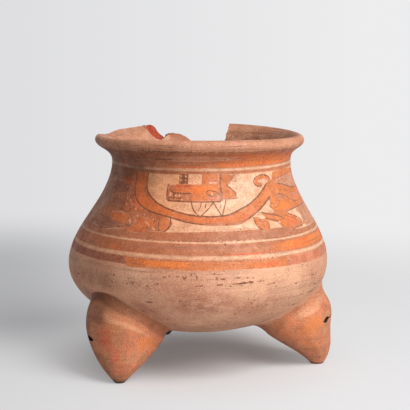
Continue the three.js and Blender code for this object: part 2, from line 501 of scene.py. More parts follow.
def set_attribute(obj: bpy.types.Object, name: str, values: np.ndarray) -> None:
    """Stores one number a vertex on a piece, for its material to read."""
    layer = obj.data.attributes.new(name, "FLOAT", "POINT")
    layer.data.foreach_set("value", values.astype(np.float32))


def finish_piece(obj: bpy.types.Object, body: str, slot: Slot, *nodes: str) -> None:
    """Hands a finished piece to the frame.

    Args:
        obj: The piece.
        body: The body that it rides on.
        slot: The record's material slot. Not used.
        nodes: The CAD nodes that it stands for.
    """
    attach(obj, body)
    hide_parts(*nodes)
    log.info("%s: %d faces on %s", obj.name, len(obj.data.polygons), body)


# Drawing of the painted walls, in degrees round from the front and millimetres up


REACH = 4.0
Dots = tuple[tuple[float, float], ...]


@dataclass(frozen=True)
class Sheet:
    """Points of a wall laid flat for painting."""

    bearing: np.ndarray
    height: np.ndarray
    drawing_radius: float = 92.0

    @property
    def across(self) -> np.ndarray:
        """Places round the wall, in millimetres."""
        return np.radians(self.bearing) * self.drawing_radius

    def turned(self, bearing: float) -> "Sheet":
        """The same points with bearings counted from another one."""
        return Sheet((self.bearing - bearing + 180) % 360 - 180, self.height)

    def flat(self, dots: Dots, rounded: bool, closed: bool) -> np.ndarray:
        """An outline in flat millimetres.

        Args:
            dots: Bearings in degrees and heights in millimetres.
            rounded: Whether a smooth curve runs through the dots.
            closed: Whether the outline's end joins its start.

        Returns:
            Its points, one a row.
        """
        line = np.array(dots, float)
        line[:, 0] = np.radians(line[:, 0]) * self.drawing_radius
        return rounded_line(line, closed) if rounded else line

    def near(self, line: np.ndarray, grown: float) -> tuple[np.ndarray, np.ndarray, np.ndarray]:
        """The points near a line, whose distance is worth measuring.

        Args:
            line: The line, in flat millimetres.
            grown: How far the shape reaches out from the line.

        Returns:
            A mask of the near points, and their flat places.
        """
        low, high = line.min(axis=0) - grown - REACH, line.max(axis=0) + grown + REACH
        across = self.across
        near = (across > low[0]) & (across < high[0]) & (self.height > low[1]) & (self.height < high[1])
        return near, across[near], self.height[near]


def rounded_line(line: np.ndarray, closed: bool, steps: int = 5) -> np.ndarray:
    """A smooth curve through points, by the Catmull-Rom rule.

    Args:
        line: The points.
        closed: Whether the curve goes round to its start.
        steps: How many points each stretch gets.

    Returns:
        The curve's points.
    """
    if closed:
        padded = np.vstack([line[-1], line, line[0], line[1]])
    else:
        padded = np.vstack([2 * line[0] - line[1], line, 2 * line[-1] - line[-2]])
    t = np.arange(steps)[:, None] / steps
    curve = []
    for a, b, c, d in zip(padded, padded[1:], padded[2:], padded[3:]):
        bend, twist = 2 * a - 5 * b + 4 * c - d, 3 * b - a - 3 * c + d
        curve.append(0.5 * (2 * b + (c - a) * t + bend * t**2 + twist * t**3))
    return np.vstack(curve if closed else [*curve, line[-1:]])


def distance_to(line: np.ndarray, x: np.ndarray, y: np.ndarray) -> np.ndarray:
    """Distance from points to a line of straight stretches."""
    nearest = np.full(x.shape, np.inf)
    for (ax, ay), (bx, by) in zip(line, line[1:]):
        dx, dy = bx - ax, by - ay
        share = np.clip(((x - ax) * dx + (y - ay) * dy) / max(dx * dx + dy * dy, 1e-9), 0, 1)
        nearest = np.minimum(nearest, np.hypot(x - ax - share * dx, y - ay - share * dy))
    return nearest


def is_inside(line: np.ndarray, x: np.ndarray, y: np.ndarray) -> np.ndarray:
    """Whether points lie inside a closed outline, by counting its crossings."""
    inside = np.zeros(x.shape, bool)
    for (ax, ay), (bx, by) in zip(line, np.roll(line, -1, axis=0)):
        if ay != by:
            inside ^= ((ay > y) != (by > y)) & (x < (bx - ax) * (y - ay) / (by - ay) + ax)
    return inside


@dataclass(frozen=True)
class Patch:
    """A filled shape. Its outline is closed, and may be rounded."""

    pigment: "Pigment"
    dots: Dots
    rounded: bool = False

    def depth(self, sheet: Sheet) -> tuple[np.ndarray, np.ndarray]:
        """How deep points lie inside the shape.

        Args:
            sheet: The points.

        Returns:
            Which points lie near enough to measure, and their depths in millimetres.
        """
        line = sheet.flat(self.dots, self.rounded, closed=True)
        near, x, y = sheet.near(line, 0)
        edge = distance_to(np.vstack([line, line[:1]]), x, y)
        return near, np.where(is_inside(line, x, y), edge, -edge)


@dataclass(frozen=True)
class Stroke:
    """A brush line of one width, in millimetres. One dot alone is a round spot."""

    pigment: "Pigment"
    dots: Dots
    width: float
    rounded: bool = True

    def depth(self, sheet: Sheet) -> tuple[np.ndarray, np.ndarray]:
        """How deep points lie inside the line, as Patch.depth gives it."""
        dots = self.dots if len(self.dots) > 1 else self.dots * 2
        line = sheet.flat(dots, self.rounded and len(self.dots) > 2, closed=False)
        near, x, y = sheet.near(line, self.width / 2)
        return near, self.width / 2 - distance_to(line, x, y)


@dataclass(frozen=True)
class Band:
    """A band round the vessel between two edges, each a height at some bearings."""

    pigment: "Pigment"
    low: Dots
    high: Dots

    @property
    def dots(self) -> Dots:
        """The dots that it is drawn by."""
        return self.low + self.high

    def depth(self, sheet: Sheet) -> tuple[np.ndarray, np.ndarray]:
        """How deep points lie inside the band, as Patch.depth gives it."""
        low, high = (np.interp(sheet.bearing, *zip(*edge)) for edge in (self.low, self.high))
        return np.ones(sheet.bearing.shape, bool), np.minimum(sheet.height - low, high - sheet.height)


class Pigment(Enum):
    """Slip paints, each with the name of the attribute that holds how deep a point lies in it."""

    CREAM = "paint_cream"
    ORANGE = "paint_orange"
    BROWN = "paint_brown"
    RUST = "paint_rust"
    ROSE = "paint_rose"
    MAROON = "paint_maroon"
    PALE = "paint_pale"
    LINE = "paint_line"

    def patch(self, *dots: tuple[float, float]) -> Patch:
        """A filled shape with straight sides."""
        return Patch(self, dots)

    def blob(self, *dots: tuple[float, float]) -> Patch:
        """A filled shape with a rounded outline."""
        return Patch(self, dots, rounded=True)

    def stroke(self, width: float, *dots: tuple[float, float], rounded: bool = True) -> Stroke:
        """A brush line through dots."""
        return Stroke(self, dots, width, rounded)

    def hatching(self, width: float, across: float, fall: float, starts: Dots) -> list[Stroke]:
        """Short strokes side by side, all with one slant."""
        return [self.stroke(width, (x, z), (x + across, z - fall)) for x, z in starts]

    def spots(self, *rows: tuple[float, float, float]) -> list[Stroke]:
        """Round spots, each a bearing, a height and a width."""
        return [self.stroke(width, (bearing, height)) for bearing, height, width in rows]


CREAM, ORANGE, BROWN, RUST, ROSE, MAROON, PALE, LINE = Pigment


class Painting:
    """Layers of paint laid one over another on a wall's points."""

    def __init__(self, sheet: Sheet) -> None:
        """Starts with bare slip.

        Args:
            sheet: The wall's points.
        """
        self.sheet = sheet
        self.depths = {pigment: np.full(sheet.bearing.shape, -REACH) for pigment in Pigment}

    def lay(self, shapes: list[Patch | Stroke | Band], bearing: float = 0.0) -> None:
        """Paints shapes in order, each over what lies under it.

        Args:
            shapes: What to paint.
            bearing: The bearing that the shapes' own bearings count from.
        """
        sheet = self.sheet.turned(bearing)
        low, high = sheet.height.min() - REACH, sheet.height.max() + REACH
        for shape in shapes:
            heights = [dot[1] for dot in shape.dots]
            if max(heights) < low or min(heights) > high:
                continue
            near, depth = shape.depth(sheet)
            for pigment, held in self.depths.items():
                own = pigment is shape.pigment
                held[near] = np.maximum(held[near], depth) if own else np.minimum(held[near], -depth)

    def store(self, obj: bpy.types.Object) -> None:
        """Keeps each paint's depth, within reach, as an attribute of a piece."""
        for pigment, depth in self.depths.items():
            set_attribute(obj, pigment.value, np.clip(depth, -REACH, REACH))


def level(height: float) -> Dots:
    """An edge of one height all round."""
    return (-180, height), (180, height)


ORANGE_FOOT = (
    (-180, 98.4), (-61, 99.6), (-33, 99.4), (-30, 98.0), (-12, 98.0), (0, 97.2), (20, 97.4), (30, 96.8),
    (45, 96.0), (70, 95.6), (110, 96.6), (180, 98.4),
)


def sloped(height: float, left: float = 0.9, right: float = -1.1) -> Dots:
    """An edge that a hand-held brush let run a little high on the left and low on the right."""
    return ((-180, height), (-60, height + left), (-15, height + left), (15, height), (60, height + right),
            (120, height + right), (180, height))


BANDS = [
    Band(ORANGE, ORANGE_FOOT, sloped(104.6)),
    BROWN.stroke(0.9, (-180, 103.4), (-90, 104.6), (-30, 104.8), (15, 103.6), (60, 102.6), (180, 103.4)),
    MAROON.patch((-96, 99.8), (-96, 105.2), (-34, 105.4), (-31.6, 102), (-32, 99.6)),
    ROSE.patch((41, 96.4), (42, 103.2), (60, 102.4), (84, 102.2), (84, 95.8)),
    MAROON.patch((112, 96.8), (112, 102.6), (150, 102.8), (146, 99), (148, 97.4)),
    Band(PALE, sloped(104.6), sloped(107.4)),
    Band(CREAM, sloped(105.2), sloped(107.0)),
    Band(BROWN, sloped(107.8), sloped(116.5, 0.4, -0.6)),
    Band(PALE, sloped(116.6, 0.4, -0.5), sloped(118.2, 0.4, -0.5)),
    Band(CREAM, sloped(116.95, 0.4, -0.5), sloped(117.8, 0.4, -0.5)),
    Band(BROWN, sloped(118.4, 0.4, -0.5), level(125.5)),
    LINE.stroke(0.45, (-180, 118.6), (-90, 118.9), (-20, 118.9), (15, 118.6), (60, 118.0), (180, 118.6)),
    Band(BROWN, level(168.0), level(170.4)),
    Band(PALE, level(170.5), level(172.7)),
    Band(CREAM, level(170.95), level(172.1)),
    Band(BROWN, level(172.9), level(230)),
    Band(PALE, ((-180, 186.6), (-60, 186.2), (0, 186.8), (60, 186.0), (180, 186.6)), level(230)),
    LINE.stroke(0.5, (-180, 186.2), (-60, 185.8), (0, 186.4), (60, 185.6), (180, 186.2)),
]

NECK_STREAKS = [
    BROWN.stroke(0.9, (-70, 189.2), (-40, 188.4), (-14, 188.8), (4, 188.2)),
    BROWN.stroke(0.7, (14, 188.6), (34, 187.8), (60, 188.2)),
    LINE.stroke(0.7, (-34, 187.2), (-20, 187.0), (-4, 187.4)),
    BROWN.stroke(0.8, (-54, 190.8), (-44, 190.6), (-30, 191)),
    BROWN.stroke(1.0, (60, 187.4), (110, 188.4), (160, 187.6)),
    BROWN.stroke(1.0, (-170, 188), (-130, 188.8), (-90, 188)),
    BROWN.patch((-176, 191.5), (-176, 200), (-159, 200), (-158, 191.5)),
    PALE.blob((-24, 181.4), (-8, 182.6), (12, 182.2), (24, 180.6), (10, 178.8), (-14, 178.4)),
    MAROON.stroke(0.9, (-90, 183.6), (-40, 184.4), (-10, 183.9), (20, 184.4)),
    MAROON.stroke(0.7, (-30, 180.4), (0, 180.0), (26, 180.4)),
    LINE.stroke(0.7, (-70, 180.2), (-44, 179.4), (-16, 179.9)),
    MAROON.stroke(1.2, (-60, 177.6), (-30, 177.1), (-8, 177.6)),
    LINE.stroke(0.6, (-24, 184.9), (-8, 184.6), (4, 184.9)),
    MAROON.stroke(0.8, (30, 183.8), (60, 183.2), (90, 183.6)),
    MAROON.stroke(1.0, (100, 182), (150, 181.4), (180, 182)),
    MAROON.stroke(1.2, (-180, 179), (-150, 178.6), (-110, 179.4)),
]

GROUND = [
    Band(CREAM,
        ((-180, 125), (-74, 122), (-60, 122.6), (-50, 123.6), (-40, 124.8), (-15, 124.8), (0, 125.2),
         (8, 126.8), (15, 127.8), (22, 127.4), (30, 126), (45, 124.9), (52, 121.6), (70, 121.2), (180, 125)),
        level(167.6),
    ),
]

CARTOUCHE_EDGE = (
    (-33.2, 168.3), (-33.6, 163), (-33.3, 158), (-32.2, 154.5), (-30, 151), (-27, 148), (-23.5, 145.2),
    (-20, 143.2), (-16, 141.2), (-11, 139.2), (-6, 137.8), (0, 136.6), (6, 136.3), (11, 136.6), (16, 137.6),
    (20, 139.8), (24, 142), (28, 144.6), (32, 147.7), (36, 151), (40, 155), (43.8, 158.8),
)
GARLAND_EDGE = (
    (-42.4, 168.3), (-42.6, 165.5), (-42.4, 158), (-41.2, 152.5), (-39, 148), (-36.5, 145), (-33, 142.3),
    (-28.5, 139.7), (-24, 138), (-19, 136.7), (-14, 135.2), (-9, 133.3), (-4, 131.8), (2, 130.7), (8, 130.2),
    (15, 130.2), (21, 130.9), (25, 133.2), (29, 136.5), (33, 139.6), (37, 143), (40.5, 146), (43.5, 148.4),
)
GARLAND = [
    ORANGE.patch(*(CARTOUCHE_EDGE + ((46, 161), (48.5, 158), (46, 150)) + GARLAND_EDGE[::-1])),
    BROWN.patch((-33.6, 165), (-33.3, 158), (-32, 154), (-29.5, 150), (-31.5, 148.6), (-35, 152.6),
        (-36.1, 158), (-36.3, 165)),
    LINE.stroke(1.2, *GARLAND_EDGE),
    BROWN.stroke(2.0, (3, 131.3), (8, 130.9), (15, 130.9), (21, 131.6), (25, 133.8)),
    LINE.stroke(1.2, *CARTOUCHE_EDGE),
    ORANGE.stroke(3.0, (46, 159), (45.4, 162), (42.4, 163.7), (39, 163.8), (36, 162.6), (35, 160.2),
        (36.6, 158.6), (38.4, 158.5)),
    LINE.stroke(1.0, (47.2, 160.2), (46.2, 163.2), (43.4, 165.1), (40, 165.6), (36.6, 164.7), (34, 162.6),
        (33.5, 160), (34.8, 157.8), (37, 156.9), (39.2, 157.6)),
    MAROON.stroke(0.6, (44.8, 160.2), (43.6, 161.9), (41, 162.5), (38.6, 162.2), (37, 161), (37, 159.8),
        (38.6, 159.5)),
]

HEAD = [
    ORANGE.patch((-14.8, 160.2), (-14.8, 154.3), (-5, 154.3), (-5, 148), (10.8, 148), (10.8, 168.2),
        (1.4, 168.2), (1.4, 160.4)),
    RUST.patch((-14.8, 160.3), (-14.8, 157.8), (-6, 157.8), (-4.5, 160.3)),
    ROSE.patch((4, 164.3), (10.4, 164.3), (10.4, 161.9), (4, 161.9)),
    CREAM.stroke(0.9, (5, 161.5), (9.4, 161.6)),
    ROSE.patch((5, 151.3), (10.6, 151.4), (10.6, 147.9), (5.5, 147.9), (4, 149.5)),
    BROWN.blob((3.6, 155.4), (6.3, 155.3), (9.8, 154), (10.4, 152.7), (9, 151.6), (5, 151.6), (3.6, 153)),
    LINE.stroke(0.9, (3.4, 153.4), (4, 155.6), (6.5, 155.5), (9.8, 154.2), (10.6, 152.8)),
    LINE.stroke(0.8, (3.8, 152.6), (6, 151.5), (9, 151.5)),
    CREAM.stroke(1.9, (6.5, 153.2)),
    BROWN.patch((-19.6, 160), (-14.8, 160), (-14.8, 154.2), (-5.2, 154.2), (-5, 147.6), (-10, 147.4),
        (-17.5, 147.8), (-19, 149.5), (-19.6, 153)),
    LINE.stroke(1.3, (-19.4, 160), (-19.4, 153), (-18.8, 149.8), (-17, 148), (-10, 147.5)),
    LINE.stroke(1.3, (-15.2, 153.6), (-10, 153.3), (-6, 153.4)),
    LINE.stroke(1.0, (-17.6, 156), (-15.6, 153.6), (-15.2, 150.4)),
    LINE.stroke(1.1, (-19, 150), (-14, 149.8), (-10, 150.1)),
    CREAM.stroke(1.7, (-17.4, 153.4), (-17.2, 151.7)),
    CREAM.stroke(1.5, (-13.9, 151.6)),
    CREAM.stroke(1.5, (-12, 151.8)),
    CREAM.stroke(1.2, (-10.2, 148.8)),
    ROSE.stroke(1.6, (-8, 151.8), (-7.2, 149.6)),
    LINE.stroke(1.0, (-18, 147.6), (-8, 147.3), (0, 147.2), (11.4, 147.3)),
    LINE.stroke(0.7, (-5, 154), (-5, 148)),
    LINE.patch((-13.1, 168.4), (-7.4, 168.4), (-7.6, 160.6), (-13, 160.6)),
    BROWN.stroke(0.7, (-12.4, 168.2), (-12.4, 160.8)),
    *[CREAM.stroke(size, (bearing, height)) for bearing, height, size in
      ((-11.7, 166.7, 1.5), (-11.8, 163.4, 1.5), (-8.9, 166.4, 1.5), (-9, 163.6, 1.4), (-9, 161.5, 0.9))],
    CREAM.patch((-7.2, 168.3), (0.4, 168.3), (0.4, 160.7), (-7.2, 160.7)),
    BROWN.stroke(1.2, (1, 168.3), (1, 160.5)),
    ORANGE.patch((12.6, 168), (20.3, 167.2), (19, 164.5), (17, 161.5), (15.6, 159.3), (17.2, 157.4),
        (19.4, 155.2), (20.7, 153), (20.4, 150.8), (19.8, 149.8), (12.6, 149.8)),
    LINE.stroke(0.9, (20.6, 167.3), (17.8, 162.3), (15.6, 159.3), (18.4, 156.3), (20.7, 153.2), (20.4, 150.2),
        rounded=False),
    BROWN.stroke(1.4, (12.5, 149.3), (16, 149.2), (20.9, 149.4)),
    MAROON.patch((10.8, 168.4), (12.5, 168.4), (12.5, 147.6), (10.8, 147.6)),
    LINE.stroke(0.5, (10.9, 168.2), (10.9, 147.4)),
    LINE.stroke(0.5, (12.5, 168.2), (12.5, 147.4)),
]

FANGS = [
    LINE.stroke(0.9, (-5, 146.8), (-3.4, 141), (-0.7, 137)),
    LINE.stroke(0.9, (7, 146.6), (4, 141.5), (0.6, 137)),
    LINE.stroke(0.8, (0.6, 146.8), (0.1, 143.5), (-1.2, 140.3)),
    LINE.stroke(0.9, (3.1, 145.8), (2.6, 142.9)),
    LINE.stroke(0.9, (7.3, 146.4), (9.3, 141.5), (11.2, 137)),
    LINE.stroke(0.9, (14.3, 148), (13, 142.5), (11.6, 137)),
    BROWN.stroke(0.9, (11.2, 144.7), (10.8, 142.6)),
]

CLAWED_FIGURE = [
    ORANGE.patch((46, 156), (48.5, 162), (50.5, 167), (60, 168), (74, 167.4), (88, 165), (88, 139),
        (75, 137.8), (62, 137), (53, 135.5), (43, 136), (41, 141), (43, 148)),
    PALE.blob((50, 159.6), (57, 161.4), (64, 162.2), (74, 162.6), (88, 161), (88, 152), (72, 152.4),
        (62, 155), (55, 156.4)),
    *[MAROON.stroke(0.6, (x, 160.8), (x + 2.6, 155.8)) for x in (51, 53.4, 55.8, 58.2, 60.8, 63.6)],
    MAROON.stroke(0.9, (50, 161), (56, 162), (62, 162.6), (70, 163.2)),
    LINE.stroke(0.9, (53, 157.2), (58, 156.2), (64, 154), (70, 152), (84, 150.6)),
    BROWN.blob((49.4, 149.2), (54, 149.2), (58.6, 147.6), (62, 144.8), (58, 144.8), (52, 145.6), (49.6, 147)),
    LINE.stroke(0.8, (49.6, 149.4), (54, 149), (58.4, 146.8), (62, 143.4), (67, 141.4), (74, 141)),
    ROSE.stroke(2.4, (64, 147), (70, 146.4), (78, 146)),
    CREAM.stroke(1.2, (48.4, 162.4), (48.9, 163.6)),
    LINE.stroke(0.9, (42.6, 146.6), (40.6, 144.6), (40.3, 142.2), (41.8, 139.9)),
    MAROON.stroke(0.8, (43.6, 147.6), (42.6, 145), (43.6, 142.6), (46, 142.4)),
    MAROON.stroke(0.9, (45, 150.4), (47.4, 149.4), (48.2, 146.8), (47, 143.6)),
    MAROON.stroke(0.8, (50, 147.4), (49.6, 143.6), (47.6, 140.6), (44.2, 139.6)),
    CREAM.patch((29.5, 135), (33, 139), (37, 142.4), (41, 145.8), (43, 147.2), (41, 144.2), (40.2, 141),
        (39, 139), (39.6, 137.4), (35, 137.2), (34, 134), (31.6, 132.6)),
    ORANGE.patch((33.5, 137.2), (40, 136.6), (53, 135.5), (57.5, 131), (61.4, 128), (62.4, 125.6),
        (60, 122.6), (52, 121.6), (44, 124.8), (42, 129), (36, 131.5)),
    LINE.stroke(0.9, (33.5, 137.6), (36, 136.6), (41, 134.8), (46, 132.8), (47.6, 131.4)),
    LINE.stroke(0.9, (35.6, 133.4), (37.8, 132), (40.6, 130.8), (43.4, 129.4), (44.6, 127), (45.4, 125)),
    CREAM.patch((36.7, 130.4), (40.8, 129.5), (42.8, 127.2), (43.9, 125.2), (36.7, 125.2)),
    CREAM.stroke(1.5, (43.6, 128.9)),
    CREAM.patch((53.6, 134.5), (60, 135.6), (66, 136), (66, 122.6), (62.6, 124.6), (63, 126.4), (61, 128.8),
        (57.8, 131.6)),
    PALE.blob((64, 136), (88, 136), (88, 122.4), (70, 121.8), (64, 123.4), (65, 130)),
    MAROON.stroke(1.1, (52, 135.4), (60, 136.5), (72, 137.2), (88, 137.6)),
    LINE.stroke(0.9, (53, 134), (57.6, 131.4), (61.4, 128.6), (62.8, 126.4), (60.6, 124.6)),
    MAROON.stroke(0.8, (50, 133.2), (54.4, 130.8), (57.8, 128.2), (58.8, 126.2), (56, 124.6)),
    MAROON.stroke(0.7, (46.6, 131.4), (50, 129.4), (52.8, 127.2), (53.2, 125.4)),
    MAROON.stroke(1.1, (64, 124.8), (60, 123), (55, 123.2), (50, 120.8)),
    ORANGE.blob((28.4, 134.2), (28.8, 130), (30, 126.4), (32, 125), (35.8, 125.2), (36.4, 129.5),
        (35.4, 133.2), (33, 132.3), (31, 134.4)),
    LINE.stroke(0.8, (28.2, 134.6), (28.7, 130), (30.2, 126.2), (32, 125)),
    MAROON.stroke(0.9, (36.5, 130), (36, 125.4)),
    MAROON.stroke(0.8, (31.4, 133), (32.4, 129.4), (33.8, 126.6)),
]

SNOUTED_FIGURE = [
    BROWN.patch((-92, 168), (-43, 168), (-43, 158), (-41.5, 152), (-39.5, 148), (-37, 145), (-33.5, 142),
        (-28.5, 139.4), (-24, 137.6), (-19, 136.4), (-16, 134.6), (-14.2, 131), (-15, 127.8), (-16.6, 125.2),
        (-30, 124.6), (-46, 123.6), (-60, 122.2), (-92, 121.4)),
    PALE.blob((-76, 163), (-66, 162.4), (-64, 156), (-66, 150), (-64, 146), (-66, 140), (-64, 134),
        (-67, 128), (-76, 125)),
    PALE.blob((-66, 124.6), (-60, 122.6), (-50, 122.4), (-41, 124), (-38, 125.4), (-46, 124.9), (-54, 124.1),
        (-60, 124.8)),
    ORANGE.blob((-56, 162), (-48, 163.4), (-43, 164.4), (-42.6, 158), (-48, 158.6)),
    MAROON.blob((-64, 158.4), (-56, 158.6), (-48, 157), (-46.6, 153.4), (-54, 151.4), (-62, 151.6)),
    *[PALE.stroke(0.9, (start, 150.8), (start + 2.2, 146.6)) for start in (-57.6, -55, -52.6, -50.2, -47.6)],
    MAROON.blob((-59, 145.4), (-47.4, 145.4), (-45.6, 141.8), (-52, 140.5), (-59, 141.4)),
    LINE.stroke(0.9, (-64, 144.6), (-61, 141.6), (-58, 139.6), (-48, 139), (-42, 136.4)),
    LINE.stroke(0.9, (-60, 151), (-53, 150.8), (-47.4, 153), (-45.6, 157)),
    PALE.stroke(0.9, (-50, 155.4), (-46.6, 155.6), (-44.8, 153), (-45.4, 149.6)),
    *LINE.hatching(0.7, 2.0, 2.2, (
        (-44, 149), (-41.6, 146.6), (-44.6, 145), (-39.4, 142.6), (-42, 141), (-36.4, 141.4), (-35, 138.4),
        (-31.6, 138.8), (-29.6, 136.4), (-38.6, 137.6), (-33.2, 134.6), (-25.4, 135), (-22.4, 132.6),
    )),
    *ROSE.hatching(1.0, 1.8, 1.8, (
        (-42.6, 144.8), (-38, 142.2), (-34, 136.8), (-30, 134.4), (-36, 133.8),
    )),
    *CREAM.hatching(0.7, 1.0, 1.2, (
        (-46, 147.6), (-42.8, 146.4), (-45, 143), (-40.4, 143.8), (-37, 140.4), (-33.2, 141.4),
        (-30.4, 137.2), (-34.4, 135.4), (-28, 134.6), (-24.2, 133.6),
    )),
    ORANGE.blob((-53, 135), (-40, 135), (-38.2, 131.4), (-39, 128.4), (-44, 129.6), (-51, 130)),
    PALE.stroke(0.8, (-54, 135.8), (-46, 136.4), (-40.4, 135.8)),
    LINE.stroke(0.9, (-39, 132.6), (-39.4, 128.6), (-36.6, 127.2), (-33.6, 128.2), (-32.4, 130.8)),
    CREAM.stroke(1.8, (-37.4, 131.2), (-36.8, 129.6)),
    PALE.stroke(1.9, (-34.2, 131.4), (-33.6, 130)),
    ORANGE.blob((-35, 127.4), (-31, 129.4), (-27.4, 129.8), (-26.4, 125.6), (-30, 122.8), (-36, 123.4)),
    RUST.stroke(1.4, (-34, 124.8), (-30.6, 123.8), (-28, 124.6)),
    ORANGE.stroke(1.8, (-41, 127), (-37, 125.2), (-34, 124.6)),
    MAROON.blob((-63, 131.4), (-57, 130.4), (-50, 129.4), (-46, 127.6), (-44, 125.6), (-52, 123.8),
        (-58, 123.6), (-62, 125.6)),
    LINE.stroke(0.9, (-64, 127), (-61, 124.6), (-58, 123), (-52, 123.2), (-46, 125.2), (-38, 126.6)),
    LINE.stroke(0.8, (-64, 131.4), (-56, 130.6), (-50, 130.2)),
    CREAM.stroke(1.0, (-28.2, 131.2), (-26.3, 130.3), (-25.4, 128.8)),
    CREAM.stroke(1.2, (-23, 127.4), (-22, 126.2)),
    LINE.stroke(1.6, (-26, 126.9)),
    LINE.stroke(0.9, (-20.6, 134.6), (-20.4, 129.4), (-19.6, 125.6)),
    LINE.stroke(0.8, (-23.4, 134), (-23, 130.8)),
    ORANGE.blob((-19, 134.2), (-15.6, 133), (-15.6, 128.4), (-17, 126), (-18.8, 126.6)),
    BROWN.stroke(1.0, (-17.2, 133), (-17.4, 129), (-18.2, 126)),
    LINE.stroke(1.2, (-14.8, 134), (-14.1, 130.4), (-15, 127.6), (-16.9, 125.2)),
]

DIVIDER = [
    BROWN.patch((84, 169), (96, 169), (96, 121), (84, 121)),
    CREAM.stroke(1.3, (86, 167.6), (85.4, 145), (85.8, 124), rounded=False),
    LINE.stroke(0.8, (87, 167.6), (86.4, 145), (86.8, 124), rounded=False),
    ORANGE.patch((88, 167), (92, 167), (92.4, 146), (92, 124), (88.2, 124), (87.8, 146)),
    LINE.stroke(0.8, (93, 167.6), (93.4, 145), (93.2, 124), rounded=False),
    CREAM.stroke(1.3, (94.2, 167.6), (94.6, 145), (94.2, 124), rounded=False),
]

PANEL = CLAWED_FIGURE + SNOUTED_FIGURE + GARLAND + HEAD + FANGS
PANEL_BEARINGS = (0.0, 180.0)


@dataclass(frozen=True)
class Smudge:
    """A soft round zone on the wall, such as a dark cloud from the firing, a brighter place, painted shade or
    light.
    """

    bearing: float
    height: float
    breadth: float
    rise: float
    depth: float


def smudges(*rows: tuple[float, ...]) -> tuple[Smudge, ...]:
    """Soft zones, from the five numbers of each."""
    return tuple(Smudge(*row) for row in rows)


def smudged(sheet: Sheet, zones: tuple[Smudge, ...]) -> np.ndarray:
    """How strongly soft zones act on each point.

    Args:
        sheet: The points.
        zones: The zones.

    Returns:
        Strengths from 0 to 1.
    """
    clear = np.ones(sheet.bearing.shape)
    for zone in zones:
        turned = sheet.turned(zone.bearing)
        far = (turned.bearing / zone.breadth) ** 4 + ((sheet.height - zone.height) / zone.rise) ** 4
        clear *= 1 - zone.depth * np.exp(-far)
    return 1 - clear


WALL_ZONES = {
    # Fire clouds, and painted shade in the creases above the left leg, on the unlit left of the belly and
    # round the left of the neck under the rim.
    "smoke_and_shade": smudges(
        (-66, 178, 44, 9, 0.56), (-62, 165, 28, 5, 0.5), (-60, 150, 26, 12, 0.2), (-50, 170, 44, 2, 0.3),
        (-62, 126, 30, 8, 0.12), (-55, 65, 11, 8, 0.4), (-30, 60, 14, 9, 0.27), (-45, 84, 13, 7, 0.22),
        (-30, 184, 14, 5, 0.24), (24, 40, 60, 9, 0.26), (52, 118, 26, 44, 0.055), (150, 150, 40, 26, 0.16),
        (-140, 90, 34, 22, 0.2),
    ),
    # A warm, darker tint, mostly painted warm shade on the unlit left of the frieze and the belly.
    "stain_and_shade": smudges(
        (-34, 150, 26, 22, 1.0), (-10, 146, 16, 30, 0.55), (-60, 112, 60, 14, 0.6), (8, 134, 20, 4, 0.5),
        (-42, 76, 16, 9, 0.25), (-170, 140, 40, 30, 0.8),
    ),
    "scuff": smudges(
        (2, 71, 15, 10, 0.9), (-22, 62, 12, 9, 0.5), (30, 66, 12, 8, 0.6), (-58, 80, 20, 12, 0.5),
        (-10, 84, 18, 4, 0.45), (58, 84, 10, 8, 0.4), (120, 78, 30, 14, 0.7), (-160, 70, 30, 12, 0.7),
    ),
    # Fresher, redder orange paint in places of the frieze and bands; round the neck under the rim it is also
    # painted light, lightening the rim's shadow.
    "bright": smudges(
        (40, 175.2, 32, 2.0, 1.0), (50, 180, 44, 5, 0.5), (-8, 173.8, 16, 1.0, 0.6),
        (63, 111.4, 29, 3.8, 1.0), (20, 108.4, 12, 1.0, 0.5), (-40, 111.4, 5, 2.4, 0.5),
        (-14, 101.6, 12, 2.2, 0.9), (30, 99.6, 8, 1.6, 0.7), (50, 140.6, 9, 2.6, 0.8),
        (50, 129, 8, 4, 0.8), (45.6, 145.4, 2.4, 3, 0.6), (33, 129, 4, 5, 0.5), (2, 156, 10, 3, 0.75),
        (-46, 132, 6, 3, 0.5), (8, 133, 24, 2, 0.3), (-36, 144, 7, 6, 0.6), (-37, 158, 6, 8, 0.45),
        (-28, 131, 9, 5, 0.5), (172, 175, 26, 2.2, 0.9), (160, 100, 30, 2.4, 0.9),
        (-150, 112, 24, 3.6, 0.9),
    ),
    "dull": smudges(
        (0, 122, 80, 3.4, 0.35), (-6, 114.6, 40, 2.4, 0.5), (-52, 182, 26, 3, 0.3), (-58, 144, 12, 12, 0.3),
    ),
}


@dataclass(frozen=True)
class Chips:
    """Dark chips where the burnished slip has flaked, strewn in level rows as the burnisher dragged them."""

    rows: int = 14
    lowest: float = 48.0
    highest: float = 94.0
    starts: int = 5
    in_a_row: tuple[int, int] = (3, 12)
    spacing: float = 2.6
    unevenness: float = 0.35
    mean_length: float = 0.6
    widths: tuple[float, float] = (0.5, 1.2)

    def strewn(self) -> list[Stroke]:
        """Draws the chips, from the script's own seed.

        Returns:
            One short stroke a chip.
        """
        draw = np.random.default_rng(SEED)
        found = []
        for row in range(self.rows):
            height = self.lowest + (self.highest - self.lowest) * (row + draw.uniform(0, 1)) / self.rows
            for start in draw.uniform(-180, 180, self.starts):
                for step in range(draw.integers(*self.in_a_row)):
                    bearing = start + (step + draw.uniform(-0.4, 0.4)) * self.spacing
                    bearing = (bearing + 180) % 360 - 180
                    z = height + draw.normal(0, self.unevenness)
                    end = bearing + draw.exponential(self.mean_length)
                    found.append(LINE.stroke(draw.uniform(*self.widths), (bearing, z), (end, z)))
        return found


